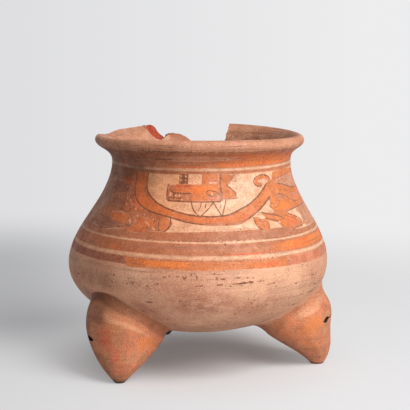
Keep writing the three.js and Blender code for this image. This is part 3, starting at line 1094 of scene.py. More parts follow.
LARGE_CHIPS = LINE.spots(
    (-2.6, 94.4, 1.5), (-1.4, 95, 1.3), (-0.3, 92.2, 1.3), (-5, 91.8, 1.2), (-5.6, 90.8, 1.0),
    (6.7, 94.8, 1.5), (7.7, 92.2, 1.2), (7.9, 90.6, 1.1), (-37, 90, 1.8), (-29.6, 88.6, 1.2),
    (-28.4, 89.2, 1.1), (-16.4, 86.4, 1.5), (-17.8, 85.8, 1.1), (-41, 88.2, 1.2), (-44, 87.4, 1.1),
    (24.6, 71.6, 1.5), (26.4, 72.4, 1.3), (23.8, 69, 1.6), (11.8, 116, 1.7), (-0.4, 120.4, 1.7),
    (22.6, 122.2, 1.0), (-21, 184, 1.6), (-15, 190.6, 1.4), (-13.6, 190.4, 1.2),
) + [
    LINE.stroke(0.9, (14.6, 86.3), (16.2, 86.4)),
    LINE.stroke(1.3, (17, 86.5), (19.6, 86.7)),
    LINE.stroke(1.1, (20.2, 86.8), (23, 86.9)),
    LINE.stroke(0.9, (18, 87.3), (19.4, 87.5)),
    LINE.stroke(0.8, (21, 87.6), (22, 87.7)),
    LINE.stroke(1.1, (8, 86), (10, 86.2)),
    LINE.stroke(0.9, (-1, 85.8), (2, 85.8)),
    LINE.stroke(0.9, (25, 87), (28, 87)),
    LINE.stroke(1.3, (-22, 70.4), (-19.6, 70.6)),
    LINE.stroke(1.2, (-64, 83.6), (-61, 84)),
    LINE.stroke(0.9, (30, 84), (33.4, 84.6)),
]


# Shader groups and finishes


Colour = tuple[float, float, float, float]
Socket = bpy.types.NodeSocket
Stored = dict[str | int, object]


def srgb(red: int, green: int, blue: int) -> Colour:
    """A colour as it looks on screen, out of 255, as the linear one that a shader needs."""
    shares = (red / 255, green / 255, blue / 255)
    return (*(c / 12.92 if c <= 0.04045 else ((c + 0.055) / 1.055) ** 2.4 for c in shares), 1.0)


class Bench:
    """Lays out shader nodes in one tree and joins them."""

    def __init__(self, tree: bpy.types.NodeTree) -> None:
        """Starts on a tree.

        Args:
            tree: The tree that takes the nodes.
        """
        self.tree = tree

    def feed(self, node: bpy.types.Node, inputs: Stored) -> None:
        """Gives a node's named inputs a value or another node's output each."""
        for name, value in inputs.items():
            if isinstance(value, Socket):
                self.tree.links.new(value, node.inputs[name])
            else:
                node.inputs[name].default_value = value

    def add(self, kind: str, inputs: Stored | None = None, **settings: object) -> bpy.types.Node:
        """Adds a node.

        Args:
            kind: The node's type.
            inputs: What its inputs get.
            settings: Values of the node's own properties.

        Returns:
            The node.
        """
        node = self.tree.nodes.new(kind)
        for name, value in settings.items():
            setattr(node, name, value)
        self.feed(node, inputs or {})
        return node

    def group(self, tree: bpy.types.NodeTree, **inputs: object) -> bpy.types.NodeOutputs:
        """The outputs of a shared group, placed with these inputs."""
        return self.add("ShaderNodeGroup", inputs, node_tree=tree).outputs

    def sum(self, operation: str, first: object, second: object = 0.0, clamp: bool = False) -> Socket:
        """A sum of two values by any Math operation."""
        node = self.add("ShaderNodeMath", {0: first, 1: second}, operation=operation, use_clamp=clamp)
        return node.outputs[0]

    def plus(self, first: object, second: object) -> Socket:
        """Two values added."""
        return self.sum("ADD", first, second)

    def less(self, first: object, second: object, clamp: bool = False) -> Socket:
        """The second value taken from the first."""
        return self.sum("SUBTRACT", first, second, clamp)

    def times(self, first: object, *others: object) -> Socket:
        """Values multiplied."""
        for other in others:
            first = self.sum("MULTIPLY", first, other)
        return first

    def mix(self, share: object, under: object, over: object, blend: str = "MIX") -> Socket:
        """One colour laid over another."""
        node = self.add("ShaderNodeMix", {0: share, 6: under, 7: over}, data_type="RGBA", blend_type=blend)
        return node.outputs[2]

    def coats(self, colour: object, *coats: tuple[object, object]) -> Socket:
        """A colour under several coats in turn, each a share and a colour."""
        for share, over in coats:
            colour = self.mix(share, colour, over)
        return colour

    def spread(
        self, value: object, low: float, high: float, to_low: float = 0, to_high: float = 1, ease: bool = True
    ) -> Socket:
        """A value's range made another range, within its ends, and smoothly where it eases."""
        inputs = {"Value": value, "From Min": low, "From Max": high, "To Min": to_low, "To Max": to_high}
        way = "SMOOTHSTEP" if ease else "LINEAR"
        return self.add("ShaderNodeMapRange", inputs, interpolation_type=way).outputs[0]

    def noise(self, where: object, scale: object, detail: float = 3.0, roughness: float = 0.55) -> Socket:
        """Cloudy noise from 0 to 1 at places in the object."""
        inputs = {"Vector": where, "Scale": scale, "Detail": detail, "Roughness": roughness}
        return self.add("ShaderNodeTexNoise", inputs).outputs["Fac"]

    def swing(self, noise: object, reach: float | Socket) -> Socket:
        """Noise made to swing about 0."""
        return self.times(self.less(noise, 0.5), reach)

    def place(self, *stretch: float) -> Socket:
        """Object coordinates, stretched along each axis if asked."""
        here = self.add("ShaderNodeTexCoord").outputs["Object"]
        if stretch:
            here = self.add("ShaderNodeMapping", {"Vector": here, "Scale": stretch}).outputs[0]
        return here

    def attribute(self, name: str) -> Socket:
        """A number stored on the mesh."""
        return self.add("ShaderNodeAttribute", attribute_name=name, attribute_type="GEOMETRY").outputs["Fac"]

    def torn(self, name: str, edge: Socket, *ends: float) -> Socket:
        """A stored number with an uneven edge, spread between ends."""
        return self.spread(self.plus(self.attribute(name), edge), *ends)


class GroupBench(Bench):
    """Builds a shared node group."""

    def __init__(self, name: str, **inputs: float | Colour) -> None:
        """Starts a group.

        Args:
            name: The group's name.
            inputs: Its inputs, each a number or a colour to begin with.
        """
        super().__init__(bpy.data.node_groups.new(name, "ShaderNodeTree"))
        for given, value in inputs.items():
            kind = "NodeSocketColor" if isinstance(value, tuple) else "NodeSocketFloat"
            made = self.tree.interface.new_socket(name=given, in_out="INPUT", socket_type=kind)
            made.default_value = value
        self.given = self.add("NodeGroupInput").outputs

    def result(self, **outputs: Socket) -> bpy.types.NodeTree:
        """The finished group, with its outputs fed."""
        for socket in outputs:
            kind = "NodeSocketColor" if socket == "Colour" else "NodeSocketFloat"
            self.tree.interface.new_socket(name=socket, in_out="OUTPUT", socket_type=kind)
        self.add("NodeGroupOutput", outputs)
        return self.tree


def mottle_group() -> bpy.types.NodeTree:
    """Uneven colour of slip over clay: broad clouds, small blotches and fine temper."""
    bench = GroupBench("mottling", Clouds=24.0, Blotches=130.0)
    here = bench.place()
    return bench.result(
        Broad=bench.spread(bench.noise(here, bench.given["Clouds"], 3), 0.32, 0.68),
        Small=bench.spread(bench.noise(here, bench.given["Blotches"], 4, 0.62), 0.3, 0.7),
        Grain=bench.noise(here, 1050.0, 3, 0.7),
        Fine=bench.noise(here, 2300.0, 2, 0.6),
    )


def scrape_group() -> bpy.types.NodeTree:
    """Level marks of scraping and burnishing round the wall, and a few loose scratches."""
    bench = GroupBench("scraping")
    streaks = bench.noise(bench.place(9, 9, 330), 1.0, 4, 0.6)
    patchy = bench.spread(bench.noise(bench.place(), 34.0, 2), 0.42, 0.66)
    fine = bench.noise(bench.place(30, 30, 900), 1.0, 2, 0.5)
    return bench.result(
        Marks=bench.times(bench.spread(streaks, 0.42, 0.62), patchy),
        Scratches=bench.times(bench.spread(fine, 0.62, 0.7), bench.spread(patchy, 0.2, 0.7)),
    )


def pits_group() -> bpy.types.NodeTree:
    """Small dark pits where grains have fallen out."""
    bench = GroupBench("pitting", Scale=260.0, Rarity=0.62)
    spots = {"Vector": bench.place(), "Scale": bench.given["Scale"]}
    cells = bench.add("ShaderNodeTexVoronoi", spots).outputs
    pick = bench.add("ShaderNodeSeparateColor", {0: cells["Color"]}).outputs[0]
    held = bench.sum("GREATER_THAN", pick, bench.given["Rarity"])
    return bench.result(Pits=bench.times(bench.spread(cells["Distance"], 0.12, 0.3, 1.0, 0.0), held))


def crackle_group() -> bpy.types.NodeTree:
    """Fine network of cracks in the slip."""
    bench = GroupBench("crackle", Scale=400.0, Width=0.12)
    clouds = bench.add("ShaderNodeTexNoise", {"Vector": bench.place(), "Scale": 90.0, "Detail": 2.0})
    warp = {0: clouds.outputs["Color"], "Scale": 0.006}
    bent = bench.add("ShaderNodeVectorMath", warp, operation="SCALE").outputs[0]
    cells = {
        "Vector": bench.add("ShaderNodeVectorMath", {0: bench.place(), 1: bent}).outputs[0],
        "Scale": bench.given["Scale"],
    }
    edge = bench.add("ShaderNodeTexVoronoi", cells, feature="DISTANCE_TO_EDGE").outputs["Distance"]
    thin = bench.sum("DIVIDE", edge, bench.given["Width"], clamp=True)
    gaps = bench.spread(bench.noise(bench.place(), 55.0, 2), 0.4, 0.62)
    return bench.result(Cracks=bench.times(bench.less(1.0, thin), gaps))


def brushed_group() -> bpy.types.NodeTree:
    """Where a brushed paint covers: a depth in millimetres made a mask with an uneven, worn edge."""
    bench = GroupBench("brushed", Depth=0.0, Wobble=0.5, Wear=0.5)
    push = bench.swing(bench.noise(bench.place(), 420.0, 3, 0.6), bench.given["Wobble"])
    cover = bench.spread(bench.plus(bench.given["Depth"], push), -0.22, 0.22)
    rubbed = bench.spread(bench.noise(bench.place(1, 1, 1.7), 210.0, 5, 0.66), 0.52, 0.72)
    kept = bench.less(1.0, bench.times(rubbed, bench.given["Wear"]), clamp=True)
    return bench.result(Cover=bench.times(cover, kept))


@dataclass(frozen=True)
class ClayGroups:
    """The shader groups that the clay's finishes share."""

    mottle: bpy.types.NodeTree
    pits: bpy.types.NodeTree
    brushed: bpy.types.NodeTree
    worn: bpy.types.NodeTree

    @classmethod
    def made(cls) -> "ClayGroups":
        """Builds all the groups."""
        mottle, pits = mottle_group(), pits_group()
        return cls(mottle, pits, brushed_group(), cls.worn_group(mottle, pits))

    @staticmethod
    def worn_group(mottle: bpy.types.NodeTree, pits: bpy.types.NodeTree) -> bpy.types.NodeTree:
        """Wear over a burnished slip of any colour: scrapes, crackle, lost grains, speckle, and pale flecks
        that are partly painted glints.

        Args:
            mottle: The mottling group.
            pits: The pitting group.

        Returns:
            The group.
        """
        bench = GroupBench("worn_slip", Base=(0.5, 0.3, 0.2, 1.0), Crackle=1.0, Scratches=1.0)
        cloud, marks = bench.group(mottle), bench.group(scrape_group())
        cracks = bench.times(bench.group(crackle_group())["Cracks"], bench.given["Crackle"])
        holes = bench.group(pits, Scale=520.0, Rarity=0.955)["Pits"]
        colour = bench.coats(
            bench.given["Base"],
            (bench.times(marks["Marks"], 0.2), srgb(112, 70, 52)),
            (bench.times(marks["Scratches"], bench.given["Scratches"], 0.55), srgb(84, 48, 34)),
            (bench.times(cracks, 0.36), srgb(110, 66, 46)),
            (bench.times(holes, 0.8), srgb(72, 42, 30)),
            (bench.spread(cloud["Grain"], 0.34, 0.52, 0.34, 0.0), srgb(100, 58, 40)),
            # Pale flecks of grain in the slip, partly painted glints.
            (bench.spread(cloud["Grain"], 0.55, 0.7, 0.0, 0.3), srgb(244, 208, 176)),
            (bench.spread(cloud["Fine"], 0.36, 0.5, 0.3, 0.0), srgb(112, 66, 46)),
        )
        height = bench.times(cloud["Grain"], 0.6)
        for sunk in (marks["Marks"], bench.times(cracks, 0.5), bench.times(holes, 2.0)):
            height = bench.less(height, sunk)
        roughness = bench.spread(cloud["Small"], 0, 1, 0.52, 0.7)
        return bench.result(Height=height, Roughness=roughness, Colour=colour)


@dataclass(frozen=True)
class Finish:
    """A clay finish, made from the shader groups that all of them share."""

    groups: ClayGroups
    name: str
    clouds: float = 24.0
    blotches: float = 130.0
    relief: float = 0.00022
    specular: float = 0.32

    def made(self) -> bpy.types.Material:
        """Builds the material."""
        material = bpy.data.materials.new(self.name)
        material.use_nodes = True
        bench = Bench(material.node_tree)
        mottle = bench.group(self.groups.mottle, Clouds=self.clouds, Blotches=self.blotches)
        colour, roughness, height = self.laid(bench, mottle)
        bump = bench.add("ShaderNodeBump", {"Strength": 1.0, "Distance": self.relief, "Height": height})
        bench.feed(material.node_tree.nodes["Principled BSDF"], {
            "Base Color": colour,
            "Roughness": roughness,
            "Normal": bump.outputs["Normal"],
            "Specular IOR Level": self.specular,
        })
        return material

    def laid(self, bench: Bench, mottle: bpy.types.NodeOutputs) -> tuple[Socket, Socket, Socket]:
        """Lays out the finish's own nodes.

        Args:
            bench: The material's bench.
            mottle: The mottling group's outputs.

        Returns:
            What feeds the colour, the roughness and the height of the relief.
        """
        raise NotImplementedError


@dataclass(frozen=True)
class PaintedSlip(Finish):
    """Burnished buff slip under brushed orange, brown and cream paint, smoked and worn, with painted shade
    and light.
    """

    name: str = "painted_slip"
    slip: Colour = srgb(200, 143, 112)
    pale_slip: Colour = srgb(218, 165, 132)
    # Fresh orange, which on the neck also stands in for light under the rim.
    bright: Colour = srgb(226, 122, 50)
    ruddy: Colour = srgb(214, 92, 52)
    dull: Colour = srgb(160, 108, 86)
    # Multiplied in as a warm, darker tint: painted warm shade.
    stain_and_shade: Colour = (1.05, 0.79, 0.63, 1.0)
    scuff: Colour = srgb(178, 112, 86)
    # Dark for fire clouds and for painted shade.
    smoke_and_shade: Colour = srgb(66, 38, 26)
    inner: Colour = srgb(206, 146, 112)
    inner_dark: Colour = srgb(162, 107, 82)
    inner_speck: Colour = srgb(74, 44, 34)
    aging: tuple[float, float, float] = (0.8, 0.7, 0.6)
    paints: tuple[tuple[Pigment, Colour, float, float], ...] = (
        (BROWN, srgb(184, 116, 80), 0.5, 0.26),
        (PALE, srgb(198, 140, 110), 1.6, 0.2),
        (ORANGE, srgb(208, 122, 70), 0.6, 0.34),
        (MAROON, srgb(160, 98, 74), 0.7, 0.35),
        (RUST, srgb(196, 96, 58), 0.6, 0.35),
        (ROSE, srgb(206, 126, 96), 0.8, 0.35),
        (CREAM, srgb(228, 184, 152), 0.6, 0.24),
        (LINE, srgb(126, 74, 44), 0.9, 0.32),
    )

    def laid(self, bench: Bench, mottle: bpy.types.NodeOutputs) -> tuple[Socket, Socket, Socket]:
        """Lays out the slip, the paints over it and their wear."""
        colour = bench.mix(mottle["Broad"], self.slip, self.pale_slip)
        painted = 0.0
        for pigment, tint, wobble, wear in self.paints:
            depth = bench.attribute(pigment.value)
            cover = bench.group(self.groups.brushed, Depth=depth, Wobble=wobble, Wear=wear)["Cover"]
            aged = tuple(share * part for share, part in zip(self.aging, tint)) + (1.0,)
            colour = bench.mix(cover, colour, bench.mix(mottle["Small"], tint, aged))
            if pigment in (BROWN, ORANGE):
                painted = bench.sum("MAXIMUM", cover, painted)
        brushing = bench.noise(bench.place(9, 9, 330), 1.0, 4, 0.6)
        streaks = bench.swing(brushing, 1.3)
        # Fresher orange over the brown and orange paint, on the neck also painted light.
        redder = bench.spread(bench.plus(brushing, mottle["Broad"]), 0.8, 1.5)
        fresh = bench.mix(redder, self.bright, self.ruddy)
        for name, tint in (("bright", fresh), ("dull", self.dull)):
            held = bench.sum("GREATER_THAN", bench.attribute(name), 0.02)
            share = bench.times(bench.torn(name, streaks, 0.2, 0.8), held, painted, 0.8)
            colour = bench.mix(share, colour, tint)
        # Warm painted shade over the unlit left of the wall.
        colour = bench.mix(bench.attribute("stain_and_shade"), colour, self.stain_and_shade, "MULTIPLY")
        rubbed = bench.times(bench.attribute("scuff"), bench.spread(mottle["Small"], 0.1, 0.8, 0.15, 0.9))
        colour = bench.mix(rubbed, colour, self.scuff)
        worn = bench.group(self.groups.worn, Base=colour, Crackle=0.8, Scratches=0.9)
        inner = bench.coats(
            self.inner,
            (bench.spread(mottle["Small"], 0, 1, 0.1, 0.9), self.inner_dark),
            (bench.spread(mottle["Grain"], 0.42, 0.52, 0.65, 0.0), self.inner_speck),
        )
        # Fire clouds and painted shade darken the worn slip; the bare inside of the rim shows its clay.
        smoked_and_shaded = bench.times(bench.attribute("smoke_and_shade"), bench.spread(mottle["Small"], 0, 1, 0.8, 1.0))
        colour = bench.coats(worn["Colour"], (smoked_and_shaded, self.smoke_and_shade), (bench.attribute("bare"), inner))
        return colour, worn["Roughness"], worn["Height"]


@dataclass(frozen=True)
class LegSlip(Finish):
    """Worn orange slip that gives way to the bowl's buff where the leg was luted on."""

    name: str = "leg_slip"
    orange: Colour = srgb(202, 122, 82)
    brown: Colour = srgb(186, 124, 88)
    red: Colour = srgb(204, 98, 62)
    grey: Colour = srgb(146, 94, 68)
    # Painted highlight along the leg's rounded shoulder.
    ridge_highlight: Colour = srgb(228, 162, 120)
    # Painted shade in the joint with the bowl, over its dark luting line.
    crease_shade: Colour = srgb(84, 42, 22)
    # Dark at the foot: dirt, and painted shade where the foot meets the floor.
    dirt_and_shade: Colour = srgb(70, 46, 36)
    # Painted shade: near black inside the hollow chamber and on the slit's cut faces, where little light
    # reaches.
    chamber: Colour = srgb(46, 26, 18)
    # Patches of amber and ruddy slip, and darker dusky patches that are mostly painted shade on the legs'
    # unlit left and by the joint.
    patches: tuple[tuple[str, Colour], ...] = (
        ("amber", srgb(214, 124, 66)), ("ruddy", srgb(200, 92, 58)), ("dusky_shade", srgb(132, 82, 58)),
    )

    def laid(self, bench: Bench, mottle: bpy.types.NodeOutputs) -> tuple[Socket, Socket, Socket]:
        """Lays out the slip, its patches and stains, the painted highlight, the painted shade in the joint,
        the chamber and at the foot, and the foot's dirt.
        """
        patchy = bench.noise(bench.place(1, 1, 0.8), 44.0, 4, 0.62)
        streaked = bench.noise(bench.place(2.2, 2.2, 0.8), 60.0, 4, 0.6)
        smear = bench.noise(bench.place(1, 1, 2), 52.0, 4, 0.62)
        edge, torn = bench.swing(patchy, 0.9), bench.swing(smear, 1.6)
        colour = bench.coats(
            self.orange,
            (bench.spread(patchy, 0.4, 0.62), self.brown),
            (bench.spread(streaked, 0.54, 0.74, 0.0, 0.6), self.red),
            (bench.spread(smear, 0.54, 0.76, 0.0, 0.55), self.grey),
            (bench.spread(mottle["Small"], 0.35, 0.9, 0.0, 0.34), self.grey),
            (
                bench.torn("slipped", edge, 0.2, 0.85),
                bench.mix(mottle["Broad"], PaintedSlip.slip, PaintedSlip.pale_slip),
            ),
        )
        for name, tint in self.patches:
            held = bench.spread(bench.attribute(name), 0.0, 0.5)
            colour = bench.mix(bench.times(bench.torn(name, torn, 0.1, 1.15, 0.0, 0.95), held), colour, tint)
        # Painted highlight along the shoulder.
        colour = bench.mix(bench.torn("ridge_highlight", edge, 0.2, 0.9, 0.0, 0.8), colour, self.ridge_highlight)
        worn = bench.group(self.groups.worn, Base=colour, Crackle=0.2, Scratches=0.08)
        # Painted shade in the joint; dirt and painted shade at the foot; painted shade in the chamber.
        colour = bench.coats(
            worn["Colour"],
            (bench.times(bench.attribute("crease_shade"), 0.9), self.crease_shade),
            (bench.attribute("dirt_and_shade"), self.dirt_and_shade),
            (bench.attribute("chamber"), self.chamber),
        )
        return colour, worn["Roughness"], worn["Height"]


@dataclass(frozen=True)
class BrokenClay(Finish):
    """Fresh break: bright red-orange clay with pale and dark temper, and loose pellets of it."""

    name: str = "broken_clay"
    clouds: float = 90.0
    blotches: float = 420.0
    relief: float = 0.0004
    tones: tuple[Colour, Colour] = (srgb(178, 72, 44), srgb(196, 90, 58))
    blotch: Colour = srgb(132, 54, 36)
    blotch_share: float = 0.6
    temper: Colour = srgb(110, 46, 32)
    temper_share: float = 0.5
    grain: Colour = srgb(226, 160, 120)
    grain_scale: float = 700.0
    grain_rarity: float = 0.7
    grain_share: float = 0.5
    grain_height: float = 0.6
    roughness: tuple[float, float] = (0.8, 0.95)

    def laid(self, bench: Bench, mottle: bpy.types.NodeOutputs) -> tuple[Socket, Socket, Socket]:
        """Lays out the clay's tones, its blotches, temper and grains."""
        grains = bench.group(self.groups.pits, Scale=self.grain_scale, Rarity=self.grain_rarity)["Pits"]
        colour = bench.coats(
            self.tones[0],
            (mottle["Broad"], self.tones[1]),
            (bench.times(mottle["Small"], self.blotch_share), self.blotch),
            (bench.spread(mottle["Grain"], 0.4, 0.54, self.temper_share, 0.0), self.temper),
            (bench.times(grains, self.grain_share), self.grain),
        )
        height = bench.plus(mottle["Grain"], bench.times(grains, self.grain_height))
        return colour, bench.spread(mottle["Small"], 0, 1, *self.roughness), height


@dataclass(frozen=True)
class InnerClay(BrokenClay):
    """Unpainted inside of the vessel: grey-brown clay, pitted where the grains have fallen out."""

    name: str = "inner_clay"
    clouds: float = 40.0
    blotches: float = 260.0
    relief: float = 0.0003
    tones: tuple[Colour, Colour] = (srgb(160, 108, 84), srgb(134, 92, 76))
    blotch: Colour = srgb(104, 66, 52)
    blotch_share: float = 0.5
    temper_share: float = 0.0
    grain: Colour = srgb(70, 44, 36)
    grain_scale: float = 420.0
    grain_share: float = 0.6
    grain_height: float = -1.0
    roughness: tuple[float, float] = (0.7, 0.85)


# The vessel


Outline = tuple[tuple[float, float, float, float], ...]


@dataclass(frozen=True)
class Vessel:
    """The painted bowl, in stretches that meet edge to edge."""

    shape: BowlShape
    painted: bpy.types.Material
    inner: bpy.types.Material
    broken: bpy.types.Material
    collar_foot: float = 0.158
    frieze_foot: float = 0.1177
    band_foot: float = 0.0785
    inner_foot: float = 1.35
    loss_step: float = 0.0009
    rim_break: Outline = (
        (-28.4, -5, -9.6, 0), (-27.6, 1, -9.6, 0), (-26, 6, -9.4, 0), (-23.7, 11, -9, 0),
        (-22.9, 12.8, -6, 0), (-22, 9.6, -1.6, 0), (-20, 8.5, 0, 0), (-17, 8.3, 0, 0), (-13.5, 9.2, 0, 0),
        (-10.5, 10.6, 0, 0), (-7, 14.4, 0, 0), (-2, 26, 0, 0), (6, 30, 0, 0), (12.5, 26, 0, 0),
        (16.5, 14, 1.2, 0), (18, 1, 1.2, 0), (18.4, -5, 1.2, 0),
    )
    lip_flake: Outline = (
        (-92, -5, 0, 0), (-88, 0.9, 0, 1), (-78, 1.9, 0, 2), (-70, 3.0, 0, 2), (-64, 3.2, 0, 2),
        (-60, 2.2, 0, 2.4), (-56.5, 1.0, 0, 3), (-45, 0.6, 0, 3.2), (-37, 0.1, 0, 3), (-34, -5, 0, 0),
    )
    loss_margin: float = 0.017
    fresh_roughness: float = 0.00024
    slant_depth: float = 0.008
    rubbed_share: float = 0.35
    rubbed_stretch: tuple[float, float] = (-22.2, -8.6)
    over_lip: float = 0.4
    bare_from: float = 0.1898
    bare_drop: float = 0.019
    bare_left: tuple[float, float] = (84, 100)
    bare_behind: tuple[float, float] = (172, 178)
    bare_right: tuple[float, float] = (60, 80)
    bare_right_end: tuple[float, float] = (122, 134)
    bare_depth: tuple[float, float] = (0.35, 0.6)
    bare_edge: float = 0.0014
    flare_drop: float = 0.003
    flare_end: tuple[float, float] = (128, 160)
    coarse_share: float = 0.7
    fine_share: float = 0.5
    smooth_angle: float = 50

    def build(self) -> None:
        """Models, paints and dresses every stretch of the bowl."""
        shape = self.shape
        outside, inside = shape.outside(), shape.inside()
        self.build_collar(outside, inside)
        self.build_wall("frieze_wall", between(outside, self.frieze_foot, self.collar_foot), 0.0006, 1040)
        self.build_wall("band_wall", between(outside, self.band_foot, self.frieze_foot), 0.0008, 1000)
        base = outside[outside[:, 1] < self.band_foot]
        base = np.vstack([base, [shape.radius_at(self.band_foot), self.band_foot]])
        self.build_wall("lower_bowl", base, 0.0012, 760)
        wall = inside[inside[:, 0] > shape.neck_wall]
        wall = between(wall, shape.ground_clearance * self.inner_foot, self.collar_foot)
        wall = np.vstack([wall, [0, shape.ground_clearance + shape.base_wall]])
        self.build_wall("inner_wall", wall, 0.0016, 360, painted=False)

    def build_wall(self, name: str, line: np.ndarray, step: float, facets: int, painted: bool = True) -> None:
        """Models and dresses one stretch of the wall.

        Args:
            name: The piece's name.
            line: Its line of radius and height.
            step: Spacing of its points up the wall.
            facets: Facets round it.
            painted: Whether it is painted, as all the outside is.
        """
        obj = spun(name, respaced(line, step), facets)
        self.dress(obj, painted, self.painted if painted else self.inner)

    def build_collar(self, outside: np.ndarray, inside: np.ndarray) -> None:
        """Models the neck and rim as a closed ring, breaks it, and opens its foot again."""
        up = between(outside, self.collar_foot, self.shape.crest_height - self.shape.lip_bead)
        throat = self.shape.rim_throat().points(self.shape.samples)
        down = between(inside, self.collar_foot, self.shape.neck_height)
        line = respaced(np.vstack([up, self.shape.lip()[1:], throat[1:], down[1:]]), 0.0008)
        obj = spun("collar", line, 880, closed=True)
        wear(obj, self.painted, self.broken)
        cut_away(obj, self.loss_cutter("rim_break", self.rim_break, fresh=True))
        cut_away(obj, self.loss_cutter("lip_flake", self.lip_flake, fresh=False))
        on_foot = np.abs(places(obj)[:, 2] - self.collar_foot) < MERGE_DISTANCE
        edit(obj, "FACE", np.array([on_foot[list(face.vertices)].all() for face in obj.data.polygons]))
        bpy.ops.mesh.delete(type="FACE")
        done()
        self.dress(obj, True, self.painted, self.broken)

    def dress(self, obj: bpy.types.Object, painted: bool, *materials: bpy.types.Material) -> None:
        """Gives a stretch of the bowl its unevenness, materials and paint, and hands it in."""
        place(obj, self.shape.hand_built(places(obj)))
        wear(obj, *materials)
        smooth(obj, self.smooth_angle)
        if painted:
            self.paint(obj)
        finish_piece(obj, VASE_BODY, Slot.PAINTED, "vessel_body")

    def paint(self, obj: bpy.types.Object) -> None:
        """Paints the bands and the frieze on an outer wall, and stores its fire clouds, stains, and painted
        shade and light.
        """
        points = places(obj)
        x, height = points[:, 0] - self.shape.shift_at(points[:, 2]), points[:, 2]
        depth = (self.shape.radius_at(height) - np.hypot(x, points[:, 1])) / self.shape.neck_wall
        painted_height = np.where(depth > self.over_lip, self.shape.crest_height, height)
        sheet = Sheet(np.degrees(np.arctan2(x, -points[:, 1])), painted_height / MILLIMETRE)
        painting = Painting(sheet)
        painting.lay(BANDS + GROUND + NECK_STREAKS + Chips().strewn())
        for shapes in (PANEL, DIVIDER):
            for bearing in PANEL_BEARINGS:
                painting.lay(shapes, bearing)
        painting.lay(LARGE_CHIPS)
        painting.store(obj)
        set_attribute(obj, "bare", self.bareness(sheet.bearing, height, depth))
        for name, zones in WALL_ZONES.items():
            set_attribute(obj, name, smudged(sheet, zones))

    def bareness(self, bearing: np.ndarray, height: np.ndarray, depth: np.ndarray) -> np.ndarray:
        """How bare of paint the inside of the rim is. The paint reaches further down at the front.

        Args:
            bearing: The points' bearings.
            height: Their heights.
            depth: How far inside the wall they lie, in wall thicknesses.

        Returns:
            Shares from 0 to 1.
        """
        behind = smoothstep(bearing, -self.bare_behind[1], -self.bare_behind[0])
        left = smoothstep(-bearing, *self.bare_left) * behind + (bearing > self.bare_behind[0])
        right = smoothstep(bearing, *self.bare_right) * (1 - smoothstep(bearing, *self.bare_right_end))
        flare = self.flare_drop * (1 - smoothstep(bearing, *self.flare_end)) * (bearing > 0)
        start = self.bare_from - self.bare_drop * np.maximum(left, right) - flare
        return smoothstep(depth, *self.bare_depth) * smoothstep(start - height, 0, self.bare_edge)

    def loss_cutter(self, name: str, outline: Outline, fresh: bool) -> bpy.types.Object:
        """A rough-faced wedge that reaches through the wall under an outline on the rim.

        Args:
            name: Its name.
            outline: Azimuths from the back in degrees, depths below the crest in millimetres, and
                how many degrees and millimetres the break's inner edge lies further on and down.
            fresh: Whether the break is fresh and rough, or an old one that is rubbed smooth.

        Returns:
            The cutter, dressed in what the break shows.
        """
        shape = self.shape
        corners = np.array(outline, float)
        corners[:, [0, 2]] = np.radians(corners[:, [0, 2]]) * shape.neck_radius
        corners[:, [1, 3]] *= -MILLIMETRE
        edge = respaced(np.vstack([corners, corners[:1]]), self.loss_step)[:-1]
        reach = (shape.neck_radius - shape.neck_wall - self.loss_margin, shape.lip_radius + self.loss_margin)
        obj = added(bpy.ops.mesh.primitive_cylinder_add, name, vertices=len(edge), end_fill_type="NGON")
        heights = places(obj)[:, 2]
        edit(obj, "EDGE", np.array([np.ptp(heights[list(side.vertices)]) > 1 for side in obj.data.edges]))
        bpy.ops.mesh.subdivide(number_cuts=round((reach[1] - reach[0]) / self.loss_step) - 1)
        done()
        roughness = self.fresh_roughness if fresh else self.fresh_roughness * self.rubbed_share
        place(obj, self.wedge_places(places(obj), edge, reach, roughness))
        edit(obj, "FACE")
        bpy.ops.mesh.normals_make_consistent(inside=False)
        done()
        wear(obj, self.painted, self.broken)
        middles = np.array([face.center[:2] for face in obj.data.polygons])
        bright = fresh & ~self.is_rubbed(np.degrees(np.arctan2(middles[:, 0], middles[:, 1])))
        obj.data.polygons.foreach_set("material_index", bright.astype(np.int32))
        return obj

    def is_rubbed(self, azimuth: np.ndarray) -> np.ndarray:
        """Whether the break is worn and no longer bright at azimuths in degrees."""
        return (azimuth > self.rubbed_stretch[0]) & (azimuth < self.rubbed_stretch[1])

